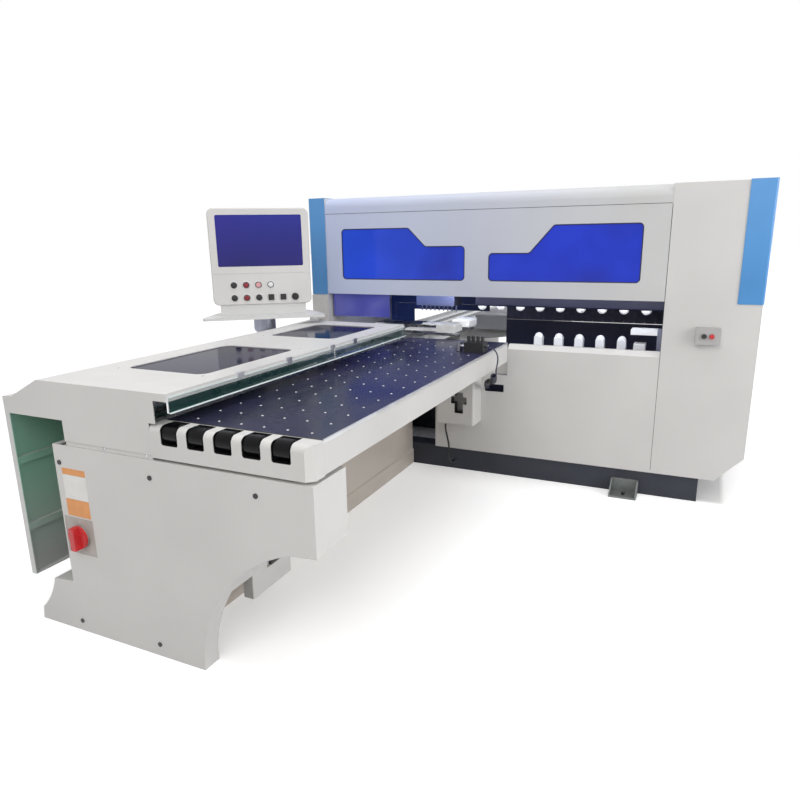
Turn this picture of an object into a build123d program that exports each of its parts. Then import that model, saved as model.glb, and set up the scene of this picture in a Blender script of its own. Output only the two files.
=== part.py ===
from build123d import *
import os
from math import pi, radians, tan

os.makedirs("parts", exist_ok=True)

# Six-sided drilling machine, in millimetres.
# +X runs along the gantry to the right, +Y is the way a panel is fed, +Z is up.
# The origin is on the floor, under the middle of the gantry.

# Sheets and clearances
SHEET = 4.0                 # folded sheet of housings and covers
PANE = 5.0                  # acrylic panes
SEAT = 0.3                  # gap between a piece and its seat
RUN = 0.05                  # radial gap of a shaft in its bore
SLIDE = 0.5                 # gap at a linear guide
DOOR_GAP = 1.5              # gap at the sides of a door
HINGE_GAP = 0.4             # gap between the hatch and the roof
FREE = 4.0                  # gap beside a piece that passes by

# Gantry
GANTRY_WIDTH = 2750.0
GANTRY_DEPTH = 1000.0
GANTRY_HEIGHT = 1765.0
PLINTH_HEIGHT = 150.0
PLINTH_RECESS = 28.0
PLINTH_TUBE = 120.0
PLINTH_WIDTH = 2308.0
RIGHT_END = 481.0           # width of the right cabinet
LEFT_END = 126.0            # width of the left cabinet
END_CHAMFER_WIDTH = 139.0
END_CHAMFER_HEIGHT = 146.0
LEFT_CHAMFER_WIDTH = 80.0
LOWER_TOP = 835.0           # top fold of the lower front panel
LOWER_LIP = 27.0            # rise and depth of its slanted lip
HATCH_BOTTOM = 1147.0
ROOF_RISE = 99.0            # height of the roof's front fold
FOLD_HEIGHT = GANTRY_HEIGHT - ROOF_RISE
ROOF_RADIUS = 62.0
CORNER_WIDTH = 124.0        # blue corner panels
CORNER_DEPTH = 420.0
CORNER_BOTTOM = HATCH_BOTTOM - 5.0

FRONT = -GANTRY_DEPTH / 2
REAR = GANTRY_DEPTH / 2
LEFT = -GANTRY_WIDTH / 2
RIGHT = GANTRY_WIDTH / 2
SKIN = SHEET + SEAT         # how far a corner panel stands off its cabinet
BAY_LEFT = LEFT + LEFT_END
BAY_RIGHT = RIGHT - RIGHT_END

# Window hatch
HATCH_FOLD = 25.0
WINDOW_BOTTOM = HATCH_BOTTOM + 96.0
WINDOW_TOP = FOLD_HEIGHT - 97.0
WINDOW_RADIUS = 26.0
WINDOW_LAP = 14.0           # how far a pane overlaps its opening
LEFT_WINDOW_X = (-1130.0, -645.0, -529.0, -267.0)
LEFT_WINDOW_STEP = WINDOW_TOP - 114.0
RIGHT_WINDOW_X = (-117.0, 131.0, 271.0, 759.0)
RIGHT_WINDOW_STEP = WINDOW_TOP - 158.0

# Lower front panel
LOWER_LEFT = -460.0         # its left edge, beside the feed bed
NOTCH_X = (-70.0, 20.0)
NOTCH_BOTTOM = 663.0
SLOT_X = (-122.0, 0.0)
SLOT_Z = (558.0, 606.0)
REAR_FRAME = 40.0           # rear panel's width beside the throat
REAR_SILL = 895.0
REAR_HEAD = 985.0           # upper edge of its outlet
REAR_MOUTH_HEAD = 997.0     # the same over the bed, where the grippers pass
STRIP_WIDTH = 70.0          # rubber strips of the outlet's curtain
STRIP_GAP = 1.0
STRIP_THICK = 3.0
STRIP_LOW = 912.0
STRIP_RAIL = (990.0, 1020.0)

# Anchor brackets
ANCHOR_WIDTH = 155.0
ANCHOR_REACH = 122.0
ANCHOR_THICK = 12.0
ANCHOR_RIB = 8.0
ANCHOR_RIB_HEIGHT = 86.0
ANCHOR_SLOT_WIDTH = 22.0
ANCHOR_SLOT_LENGTH = 66.0
ANCHOR_X = 757.0
ANCHOR_REAR_LEFT = -480.0

# Feed arm, whose depths are measured from the gantry's front
ARM_REACH = 2326.0
ARM_FRONT = FRONT - ARM_REACH
REAR_REACH = 1060.0         # how far the rear table stands behind the gantry
ARM_REAR = REAR + REAR_REACH
REAR_TABLE_FRONT = REAR + 90.0
REAR_ARMS = (REAR_TABLE_FRONT + 160.0, ARM_REAR - 200.0)
BED_RIGHT = -632.0
BED_WIDTH = 398.0
BED_TOP = 787.0
BED_BAND = 95.0             # base band along the floor
BED_BAND_STEP = 8.0
ARM_ROOT_HEIGHT = 105.0     # depth of a cantilever arm at the bed
ARM_TIP_HEIGHT = 26.0
ARM_PLATE = 30.0            # its thickness
TABLE_TOP = 909.0
TABLE_RIGHT = 77.0
TABLE_WIDTH = 630.0
PLATE_THICK = 12.0
TABLE_BOTTOM = 797.0
NOSE_DEPTH = 74.0           # from the table's front to the housing's face
NOSE_PROUD = 2.0            # how far the housing stands in front of the end panel
TABLE_FRONT = ARM_FRONT - NOSE_PROUD + NOSE_DEPTH
TABLE_REAR = FRONT - 215.0
TABLE_LEFT = TABLE_RIGHT - TABLE_WIDTH
BED_LEFT = BED_RIGHT - BED_WIDTH
PLATE_BOTTOM = TABLE_TOP - PLATE_THICK
TRIM_WIDTH = 7.0            # aluminium edge strip
TRIM_HEIGHT = 14.0

# Front rollers
ROLLER_RADIUS = 33.0
ROLLER_LENGTH = 64.0
ROLLER_PITCH = 111.5
ROLLER_COUNT = 5
ROLLER_FIRST = -478.0       # middle of the leftmost roller
ROLLER_WINDOW = 72.0        # width of its cut-out
ROLLER_RISE = 3.0           # how far a roller stands above the table
AXLE_RADIUS = 8.0
NOSE_RADIUS = 24.0
NOSE_BOTTOM = 793.0
NOSE_CHAMFER = 26.0
ROLLER_Z = TABLE_TOP + ROLLER_RISE - ROLLER_RADIUS
ROLLER_Y = TABLE_FRONT - NOSE_DEPTH + ROLLER_RADIUS + 1

# End panel at the arm's front
PANEL_LEFT = -1060.0
PANEL_TOP = 782.0
PANEL_CHIN = 541.0          # lower edge under the table's end
LEG_RIGHT = -422.0
PANEL_FLANGE = 75.0         # depth of its edge flange
HEAD_DEPTH = 198.0          # depth of the upper part under the table
FOOT_TOP = 205.0
FOOT_REACH = 215.0          # how far the left foot stands out
FOOT_SLOPE = 108.0          # width of its sloping top
FOOT_KNEE = (66.0, 118.0)   # a point of its rounded front, from its end and the floor
FOOT_TOE = (10.0, 55.0)
ARCH_END = 105.0            # from the table's right edge to the arch
ARCH_MIDDLE = (-290.0, 359.0)
ARCH_FOOT = 40.0
HEAD_BOTTOM = 300.0         # lower end of the deep upper part
PLUG_RADIUS = 9.0
PLUG_HEIGHT = 3.0
PLUG_PLACES = [(-1035.0, 712.0), (-586.0, 715.0), (-139.0, 720.0), (-1040.0, 45.0), (-631.0, 50.0)]
SWITCH_X = -978.0
SWITCH_Z = 422.0
SWITCH_SIZE = 150.0
KNOB_RADIUS = 46.0
KNOB_LENGTH = 34.0
KNOB_DISC = 12.0
GRIP_WIDTH = 26.0
SWITCH_BUSH = 8.0           # how far the bush stands off the plate
SWITCH_PIN = 8.0            # radius of its bore
SERVICE_WIDTH = 50.0
SERVICE_Y = (ARM_FRONT + 298.0, ARM_FRONT + 558.0)
SERVICE_Z = (122.0, 682.0)
SERVICE_POCKET = 14.0       # depth of its finger hole
POCKET_Y = (95.0, 185.0)    # the hole's place from the box's front and foot
POCKET_Z = (90.0, 140.0)
HANGER_INSET = 60.0
HANGER_DROP = (95.0, 45.0)

# Feed cover
COVER_RIGHT = -475.0
COVER_TOP = 1020.0
COVER_RIDGE = -1099.0
COVER_EAVE = -1249.0
COVER_EAVE_Z = 946.0
COVER_LEFT = -1302.0
COVER_REAR = FRONT - 450.0
COVER_FRONT_BOTTOM = 800.0
COVER_EDGE = COVER_EAVE_Z - 16.0  # lower edge of the hood's left side
COVER_APRON = COVER_EDGE - 52.0   # lower edge of the front plate left of the bed
COVER_SILL = 6.0            # how far the sill strip stands back
COVER_STEP = -988.0
MOUTH_X = TABLE_LEFT + 18.0  # left edge of the gap under the hood for the grippers
MOUTH_TOP = 993.0
COVER_FOOT = (10.0, 24.0, 60.0)  # inset, thickness and length of a foot on the bed
COVER_LIP = 28.0
SIGHT_X = (-968.0, -578.0)  # cover windows
SIGHT_FRONT_Y = (ARM_FRONT + 296.0, ARM_FRONT + 904.0)
SIGHT_REAR_Y = (ARM_FRONT + 1241.0, ARM_FRONT + 1734.0)
SIGHT_RADIUS = 42.0
GUARD_BOTTOM = 953.0
GUARD_TOP = 1008.0
SKIRT_BOTTOM = 198.0
SKIRT_LENGTH = 1600.0
SKIRT_FOLD = 26.0
SKIRT_RIBS = (400.0, 680.0)
SKIRT_RIB_HEIGHT = 28.0

# Feed beam and grippers
BEAM_LEFT = -985.0
BEAM_RIGHT = -610.0
BEAM_TOP = 868.0
RACK_SLOT_WIDTH = 68.0
RACK_SLOT_DEPTH = 24.0
RAIL_WIDTH = 23.0
RAIL_HEIGHT = 18.0
RAIL_INSET = 60.0
GRIPPER_LENGTH = 170.0
GRIPPER_TIP = -284.0
GRIPPER_HEAD = 118.0
GRIPPER_TOP = 985.0
GRIPPER_DECK = 50.0         # height of the carriage above its runner blocks
FINGER_GAP = 3.0            # gap between the lower jaw and the table
FINGER_THICK = 8.0
JAW_OPEN = 16.0             # opening between the jaws at rest
BRIDGE_TOP = 947.0
GRIPPER_FRONT_Y = FRONT - 60.0
GRIPPER_SPACING = 290.0

# Side pusher on the float plate
PUSHER_X = (-48.0, 58.0)
PUSHER_WIDTH = 80.0
PUSHER_MIDDLE = FRONT - 585.0
PUSHER_Y = (PUSHER_MIDDLE - PUSHER_WIDTH / 2, PUSHER_MIDDLE + PUSHER_WIDTH / 2)
PUSHER_HEIGHT = 56.0
PUSHER_ROD = 8.0            # rod's radius
PUSHER_ROD_Z = TABLE_TOP + 28.0
PUSHER_KNOBS = 4
KNOB_TOP = TABLE_TOP + 84.0
PUSHER_SHOE = 18.0
PUSHER_REACH = 26.0         # from the block to the shoe

# Drilling line inside the gantry
CROSSBEAM_FRONT = 20.0
CROSSBEAM_DEPTH = 250.0
CROSSBEAM_HEIGHT = 260.0
UPPER_BEAM_BOTTOM = 1215.0
LOWER_BEAM_BOTTOM = 330.0
BEAM_WALL = 12.0
HEAD_SIZE = 150.0
CARRIAGE_WIDTH = 320.0
CARRIAGE_THICK = 24.0
SHOE_WEB = 6.0              # solid part of a runner block in front of its groove
UPPER_HEAD_X = -590.0
LOWER_HEAD_X = 250.0
BIT_RADIUS = 5.0
BIT_LENGTH = 42.0
BIT_PITCH = 32.0
BIT_COUNT = 9
CHUCK_RADIUS = 11.0
CHUCK_LENGTH = 16.0
HEAD_HEIGHT = 210.0
MOTOR_RADIUS = 58.0
MOTOR_LENGTH = 120.0
OVERHANG = 20.0             # how far a carriage's plate stands past its crossbeam
SHOE_LENGTH = 90.0
SHOE_HEIGHT = 60.0
UPPER_BIT_TIP = 1010.0
LOWER_BIT_TIP = 790.0

# Press beam with its pads, and the posts under it
PRESS_Y = -210.0
PRESS_DEPTH = 54.0
PRESS_BOTTOM = 1066.0
PRESS_STEP = 1157.0         # where the strip meets the bar
PRESS_TOP = 1237.0
PRESS_BEVEL = 8.0
PAD_PITCH = 128.0
PAD_RADIUS = 29.0
PAD_FIRST = -240.0
PAD_COUNT = 9
POST_FIRST = 144.0
POST_COUNT = 5
POST_WIDTH = 52.0
POST_BASE = 792.0
POST_TOP = 905.0
BAR_HEIGHT = 70.0           # bar that carries the posts
UPRIGHT_WIDTH = 80.0
UPRIGHT_FOOT = 20.0
FENCE_Y = (PRESS_Y - 130.0, PRESS_Y - 40.0)
FENCE_TOP = 966.0
FENCE_WALL = 862.0
SIDE_STOP_X = (735.0, 800.0)
SIDE_STOP_TOP = 880.0
SHELF_LEFT = 715.0
SHELF_BOTTOM = 934.0
CURTAIN_RIGHT = -806.0
CURTAIN_RAIL = (1161.0, 1191.0)
CURTAIN_OFFSET = 48.0       # from the gantry's front

# Boxes and buttons
BUTTON_BOX_X = 1127.0
BUTTON_BOX_Z = 971.0
BUTTON_BOX_SIZE = (124.0, 44.0, 92.0)
BUTTON_RADIUS = 13.0
BUTTON_SPREAD = 38.0
BUTTON_TRAVEL = 4.0
BUTTON_RING = 5.0           # width of the collar round a button
BUTTON_WELL = 14.0          # depth of its well
VALVE_BOX_X = (-400.0, -146.0)
VALVE_BOX_Z = (360.0, 775.0)
VALVE_BOX_DEPTH = 142.0
CROSS_X = -247.0
CROSS_Z = 500.0
CROSS_ARM = (104.0, 46.0)
CROSS_STEM = (58.0, 136.0)
CROSS_SHIFT = 16.0          # how far the cross bar sits above the stem's middle
CROSS_DEPTH = 60.0
GLAND_LENGTH = 14.0
GLAND_WALL = 6.0

# Operator's console on its swing arm
CONSOLE_X = -1358.0
CONSOLE_Y = FRONT - 585.0
CONSOLE_TURN = 37.7         # degrees, how far the screen faces right
CONSOLE_WIDTH = 584.0
CONSOLE_BOTTOM = 1128.0
CONSOLE_HEIGHT = 560.0
CONSOLE_DEPTH = 78.0
CONSOLE_RADIUS = 34.0
KEY_ZONE = 182.0            # height of the part with the buttons
SCREEN_WIDTH = 498.0
SCREEN_HEIGHT = 296.0
SCREEN_TOP_EDGE = 38.0      # from the housing's top to the screen
SCREEN_DEPTH = 12.0
KEY_PITCH = 72.0
KEY_ROW = (CONSOLE_BOTTOM + 118.0, CONSOLE_BOTTOM + 42.0)
KEY_FIRST = -168.0
KEY_COUNT = (4, 6)
KEY_BORE = 17.0             # radius of a button's bore
KEY_DEPTH = 22.0
KEY_SIZE = 34.0             # side of a square button
SELECTOR_RADIUS = 21.0
BUTTON_PLACES = [(KEY_FIRST + i * KEY_PITCH, z) for count, z in zip(KEY_COUNT, KEY_ROW) for i in range(count)]
SQUARE_BUTTONS = (7, 8)
COLLAR_RADIUS = 50.0        # arm's end under the hub
HUB_RADIUS = 66.0
HUB_BOTTOM = 956.0
TRAY_Z = 1056.0
TRAY_THICK = 14.0
TRAY_POINTS = [(-352.0, -205.0), (352.0, -205.0), (352.0, -150.0), (290.0, 130.0), (-268.0, 130.0),
               (-352.0, -150.0)]
NECK_WIDTH = 510.0
PIVOT_X = -1330.0           # axis of the arm's hinge at the gantry
PIVOT_Y = FRONT - 66.0
PIVOT_RADIUS = 30.0
PIN_RADIUS = 11.0
ARM_BOTTOM = 905.0
ARM_TOP = 975.0
ARM_RISE = 14.0             # how much higher its lower edge is under the console
ARM_HALF = 30.0
EYE_HEIGHT = 40.0
PLATE_BACK = 12.0           # thickness of the bracket's plate

# Cords
CABLE_RADIUS = 6.0
HOSE_RADIUS = 4.0
COIL_RADIUS = 21.0
VALVE_CABLE = [(-352.0, FRONT - 96.0, VALVE_BOX_Z[0] - GLAND_LENGTH), (-352.0, FRONT - 96.0, 312.0),
               (-345.0, FRONT - 88.0, 262.0), (-334.0, FRONT - 82.0, 208.0), (-331.0, FRONT - 80.0, 152.0),
               (-333.0, FRONT - 68.0, 102.0), (-336.0, FRONT - 36.0, 66.0), (-338.0, FRONT - 6.0, 56.0),
               (-338.0, FRONT + PLINTH_RECESS - SEAT, 56.0)]
HOSE_ROUTE = [(65.0, FRONT - 585.0, 938.0), (90.0, FRONT - 585.0, 938.0), (117.0, FRONT - 588.0, 922.0),
              (132.0, FRONT - 594.0, 894.0), (133.0, FRONT - 600.0, 860.0), (127.0, FRONT - 606.0, 824.0),
              (114.0, FRONT - 606.0, 790.0)]
COIL_ROUTE = [(114.0, FRONT - 606.0, 790.0), (92.0, FRONT - 520.0, 744.0), (42.0, FRONT - 400.0, 712.0),
              (-20.0, FRONT - 260.0, 680.0), (-70.0, FRONT - 130.0, 640.0), (-96.0, FRONT - 40.0, 600.0)]
TAIL_ROUTE = [(-96.0, FRONT - 40.0, 600.0), (-104.0, FRONT - 12.0, 588.0), (-106.0, FRONT + 18.0, 584.0)]


def block(x, y, z):
    """A box from three (low, high) pairs."""
    size = [high - low for low, high in (x, y, z)]
    middle = [(low + high) / 2 for low, high in (x, y, z)]
    return Pos(*middle) * Box(*size)


def along_y(sketch, y0, y1):
    """Extrude a sketch drawn in X and Z from y0 to y1."""
    plane = Plane(origin=(0, y1, 0), x_dir=(1, 0, 0), z_dir=(0, -1, 0))
    return extrude(plane * sketch, y1 - y0)


def along_x(sketch, x0, x1):
    """Extrude a sketch drawn in Y and Z from x0 to x1."""
    plane = Plane(origin=(x0, 0, 0), x_dir=(0, 1, 0), z_dir=(1, 0, 0))
    return extrude(plane * sketch, x1 - x0)


def along_z(sketch, z0, z1):
    """Extrude a sketch drawn in X and Y from z0 to z1."""
    return extrude(Pos(0, 0, z0) * sketch, z1 - z0)


def outline(points):
    return make_face(Polyline(*points, close=True))


def rod_x(radius, x0, x1, y, z):
    return along_x(Pos(y, z) * Circle(radius), x0, x1)


def rod_y(radius, y0, y1, x, z):
    return along_y(Pos(x, z) * Circle(radius), y0, y1)


def rod_z(radius, z0, z1, x, y):
    return along_z(Pos(x, y) * Circle(radius), z0, z1)


def rounded(points, radius):
    """A closed outline whose corners all have one radius."""
    face = outline(points)
    return fillet(face.vertices(), radius)


def save(name, shape):
    if isinstance(shape, (list, tuple)):
        shape = Compound(children=list(shape))
    export_step(shape, f"parts/{name}.step")


# Gantry frame and housings

def plinth():
    half = PLINTH_WIDTH / 2
    depth = GANTRY_DEPTH - 2 * PLINTH_RECESS
    frame = Rectangle(PLINTH_WIDTH, depth)
    opening = Rectangle(half - 1.5 * PLINTH_TUBE, depth - 2 * PLINTH_TUBE)
    shift = (half + PLINTH_TUBE / 2 - PLINTH_TUBE) / 2
    for side in (-1, 1):
        frame -= Pos(side * shift, 0) * opening
    return along_z(frame, 0, PLINTH_HEIGHT - SEAT)


def anchor_bracket():
    """One bracket, drawn in front of a plinth face at Y = 0, reaching to -Y."""
    plate = block((-ANCHOR_WIDTH / 2, ANCHOR_WIDTH / 2), (-ANCHOR_REACH, 0), (0, ANCHOR_THICK))
    slot = Rot(0, 0, 90) * SlotOverall(ANCHOR_SLOT_LENGTH, ANCHOR_SLOT_WIDTH)
    plate -= along_z(Pos(0, -ANCHOR_REACH / 2) * slot, -1, ANCHOR_THICK + 1)
    rib = outline([(0, ANCHOR_THICK), (-ANCHOR_REACH, ANCHOR_THICK), (-ANCHOR_REACH, ANCHOR_THICK + 10),
                   (-25, ANCHOR_RIB_HEIGHT), (0, ANCHOR_RIB_HEIGHT)])
    edge = ANCHOR_WIDTH / 2
    bracket = plate + along_x(rib, -edge, -edge + ANCHOR_RIB) + along_x(rib, edge - ANCHOR_RIB, edge)
    back = block((-edge, edge), (-ANCHOR_RIB, 0), (0, ANCHOR_RIB_HEIGHT))
    return bracket + back


def anchor_brackets():
    front = FRONT + PLINTH_RECESS - SEAT
    places = [Pos(ANCHOR_X, front, 0)]
    for x in (ANCHOR_REAR_LEFT, ANCHOR_X):
        places.append(Pos(x, -front, 0) * Rot(0, 0, 180))
    bracket = anchor_bracket()
    return [place * bracket for place in places]


def cabinet(inner, outer, chamfer, slope):
    """A closed housing between the bay and one outer side."""
    side = 1 if outer > inner else -1
    section = outline([(outer - side * chamfer, PLINTH_HEIGHT), (outer, PLINTH_HEIGHT + slope),
                       (outer, GANTRY_HEIGHT), (inner, GANTRY_HEIGHT), (inner, PLINTH_HEIGHT)])
    return along_y(section, FRONT, REAR)


def left_cabinet():
    slope = END_CHAMFER_HEIGHT * LEFT_CHAMFER_WIDTH / END_CHAMFER_WIDTH
    return cabinet(BAY_LEFT, LEFT + SKIN, LEFT_CHAMFER_WIDTH, slope)


def right_cabinet():
    return cabinet(BAY_RIGHT, RIGHT - SKIN, END_CHAMFER_WIDTH, END_CHAMFER_HEIGHT)


def corner_panel(side):
    """A cap over a cabinet's upper front corner, with front, side and top faces."""
    outer = side * RIGHT
    inner = outer - side * CORNER_WIDTH
    x = tuple(sorted((inner, outer)))
    wall = tuple(sorted((inner - side, outer - side * SHEET)))
    cap = block(x, (FRONT - SKIN, FRONT + CORNER_DEPTH), (CORNER_BOTTOM, GANTRY_HEIGHT + SKIN))
    upright = cap.edges().filter_by(Axis.Z).sort_by_distance((outer, FRONT - SKIN, CORNER_BOTTOM))[0]
    cap = fillet(upright, 3 * SHEET)
    room = block(wall, (FRONT - SEAT, REAR), (0, GANTRY_HEIGHT + SEAT))
    return cap - room


def roof_section(inset):
    """Roof outline in Y and Z, moved in by inset."""
    y0 = FRONT + inset
    y1 = REAR - inset
    top = GANTRY_HEIGHT - inset
    low = FOLD_HEIGHT if inset == 0 else FOLD_HEIGHT - 10
    r = ROOF_RADIUS - inset
    front = Line((y0, low), (y0, top - r))
    bend = RadiusArc((y0, top - r), (y0 + r, top), r)
    crown = Line((y0 + r, top), (y1, top))
    back = Polyline((y1, top), (y1, low), (y0, low))
    return make_face(Curve() + [front, bend, crown, back])


def roof_cover():
    x0 = BAY_LEFT + SEAT
    x1 = BAY_RIGHT - SEAT
    return along_x(roof_section(0), x0, x1) - along_x(roof_section(SHEET), x0 - 1, x1 + 1)


def window_shape(x, step, high_left):
    """Opening with a high and a low part, joined by a slant."""
    a, b, c, d = x
    low = WINDOW_BOTTOM
    high = WINDOW_TOP
    if high_left:
        return rounded([(a, low), (d, low), (d, step), (c, step), (b, high), (a, high)], WINDOW_RADIUS)
    return rounded([(a, low), (d, low), (d, high), (c, high), (b, step), (a, step)], WINDOW_RADIUS)


def window_shapes():
    return (window_shape(LEFT_WINDOW_X, LEFT_WINDOW_STEP, True),
            window_shape(RIGHT_WINDOW_X, RIGHT_WINDOW_STEP, False))


def hatch():
    x = (BAY_LEFT + DOOR_GAP, BAY_RIGHT - DOOR_GAP)
    z = (HATCH_BOTTOM, FOLD_HEIGHT - HINGE_GAP)
    tray = block(x, (FRONT, FRONT + HATCH_FOLD), z)
    inner = block((x[0] + SHEET, x[1] - SHEET), (FRONT + SHEET, FRONT + HATCH_FOLD + 1),
                  (z[0] + SHEET, z[1] - SHEET))
    tray -= inner
    for shape in window_shapes():
        tray -= along_y(shape, FRONT - 1, FRONT + SHEET + 1)
    return tray


def hatch_windows():
    back = FRONT + SHEET + SEAT
    return [along_y(offset(shape, WINDOW_LAP), back, back + PANE) for shape in window_shapes()]


def lower_front_panel():
    y = FRONT
    t = SHEET
    low = PLINTH_HEIGHT
    top = LOWER_TOP
    lip = LOWER_LIP
    fold = outline([(y, low), (y, top), (y + lip, top + lip), (y + 2 * lip, top + lip),
                    (y + 2 * lip, top + lip - t), (y + lip + t / 2, top + lip - t), (y + t, top - t / 2),
                    (y + t, low + t), (y + 2 * lip, low + t), (y + 2 * lip, low)])
    panel = along_x(fold, LOWER_LEFT, BAY_RIGHT - SEAT)
    panel -= block(NOTCH_X, (y - 1, y + 3 * lip), (NOTCH_BOTTOM, top + 2 * lip))
    panel -= block(SLOT_X, (y - 1, y + t + 1), SLOT_Z)
    ledge = block((NOTCH_X[0] - t, NOTCH_X[1] + t), (y + t, y + 2 * lip), (NOTCH_BOTTOM - t, NOTCH_BOTTOM))
    cheeks = [block((x0, x0 + t), (y + t, y + 2 * lip), (NOTCH_BOTTOM - t, top - t))
              for x0 in (NOTCH_X[0] - t, NOTCH_X[1])]
    return panel + ledge + cheeks[0] + cheeks[1]


def rear_panel():
    x = (BAY_LEFT + SEAT, BAY_RIGHT - SEAT)
    panel = block(x, (REAR - SHEET, REAR), (PLINTH_HEIGHT, FOLD_HEIGHT - SEAT))
    through = (REAR - 2 * SHEET, REAR + 1)
    left = x[0] + REAR_FRAME
    mouth = GRIPPER_TIP + 14
    panel -= block((mouth - 1, x[1] - REAR_FRAME), through, (REAR_SILL, REAR_HEAD))
    return panel - block((left, mouth), through, (PLINTH_HEIGHT - 1, REAR_MOUTH_HEAD))


def rear_curtain():
    """Rubber strips that close the outlet, hung from a rail on the rear panel."""
    back = REAR - SHEET - SEAT
    x = (GRIPPER_TIP + 14 + SEAT, BAY_RIGHT - REAR_FRAME / 2)
    curtain = block(x, (back - 14, back), STRIP_RAIL)
    pitch = STRIP_WIDTH + STRIP_GAP
    for i in range(int((x[1] - x[0]) / pitch)):
        x0 = x[0] + 4 + i * pitch
        curtain += block((x0, x0 + STRIP_WIDTH), (back - 14 + FREE, back - 14 + FREE + STRIP_THICK),
                         (STRIP_LOW, STRIP_RAIL[0] + 1))
    return curtain


# Drilling line

def crossbeam(bottom):
    """A box beam across the bay, with two linear rails on its front face."""
    y = (CROSSBEAM_FRONT, CROSSBEAM_FRONT + CROSSBEAM_DEPTH)
    z = (bottom, bottom + CROSSBEAM_HEIGHT)
    x = (BAY_LEFT + SEAT, BAY_RIGHT - SEAT)
    beam = block(x, y, z)
    w = BEAM_WALL
    beam -= block((x[0] - 1, x[1] + 1), (y[0] + w, y[1] - w), (z[0] + w, z[1] - w))
    for rail_z in (bottom + RAIL_INSET / 2, z[1] - RAIL_INSET / 2):
        half = RAIL_WIDTH / 2
        beam += block(x, (y[0] - RAIL_HEIGHT, y[0]), (rail_z - half, rail_z + half))
    return beam


def drill_carriage(x, bottom):
    """A plate on runner blocks that rides along a crossbeam's rails."""
    back = CROSSBEAM_FRONT - SLIDE
    face = carriage_face()
    half = CARRIAGE_WIDTH / 2
    z = (bottom - OVERHANG, bottom + CROSSBEAM_HEIGHT + OVERHANG)
    carriage = block((x - half, x + half), (face, face + CARRIAGE_THICK), z)
    plate_back = face + CARRIAGE_THICK
    groove = RAIL_WIDTH / 2 + SLIDE
    for rail_z in (bottom + RAIL_INSET / 2, bottom + CROSSBEAM_HEIGHT - RAIL_INSET / 2):
        for end in (-1, 1):
            middle = x + end * (half - SHOE_LENGTH / 2 - 5)
            span = (middle - SHOE_LENGTH / 2, middle + SHOE_LENGTH / 2)
            shoe = block(span, (plate_back, back), (rail_z - SHOE_HEIGHT / 2, rail_z + SHOE_HEIGHT / 2))
            shoe -= block((span[0] - 1, span[1] + 1), (plate_back + SHOE_WEB, back + 1),
                          (rail_z - groove, rail_z + groove))
            carriage += shoe
    return carriage


def carriage_face():
    """Front of a drilling carriage's plate."""
    return CROSSBEAM_FRONT - RAIL_HEIGHT - SLIDE - SHOE_WEB - CARRIAGE_THICK


def drill_head(x, tip, up):
    """Spindle block with a row of drill bits; up is 1 for the head under the panel."""
    back = carriage_face() - SLIDE
    front = back - HEAD_SIZE
    half = CARRIAGE_WIDTH / 2 - OVERHANG
    nose = tip - up * BIT_LENGTH
    end = nose - up * HEAD_HEIGHT
    chuck = nose + up * CHUCK_LENGTH
    body = block((x - half, x + half), (front, back), tuple(sorted((nose, end))))
    for i in range(BIT_COUNT):
        place = (x + (i - (BIT_COUNT - 1) / 2) * BIT_PITCH, front + HEAD_SIZE / 2)
        body += rod_z(CHUCK_RADIUS, *sorted((nose, chuck)), *place)
        body += rod_z(BIT_RADIUS, *sorted((chuck, tip)), *place)
    motor = rod_z(MOTOR_RADIUS, *sorted((end, end - up * MOTOR_LENGTH)), x, front + HEAD_SIZE / 2)
    return body + motor


def press_beam():
    """Bar with a lower strip for the pads, held at both ends by guide blocks."""
    y = (PRESS_Y - PRESS_DEPTH / 2, PRESS_Y + PRESS_DEPTH / 2)
    upper = block((BAY_LEFT + SLIDE, BAY_RIGHT - SLIDE), y, (PRESS_STEP, PRESS_TOP))
    strip = outline([(y[0], PRESS_BOTTOM + PRESS_BEVEL), (y[0] + PRESS_BEVEL, PRESS_BOTTOM), (y[1], PRESS_BOTTOM),
                     (y[1], PRESS_STEP), (y[0], PRESS_STEP)])
    return upper + along_x(strip, PAD_FIRST - 1.4 * PAD_RADIUS, BAY_RIGHT - SLIDE)


def press_pads():
    """Domed pads hanging under the press beam."""
    dome = Sphere(PAD_RADIUS) & block((-50, 50), (-50, 50), (-50, 0))
    return [Pos(PAD_FIRST + i * PAD_PITCH, PRESS_Y, PRESS_BOTTOM - SEAT) * dome for i in range(PAD_COUNT)]


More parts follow.
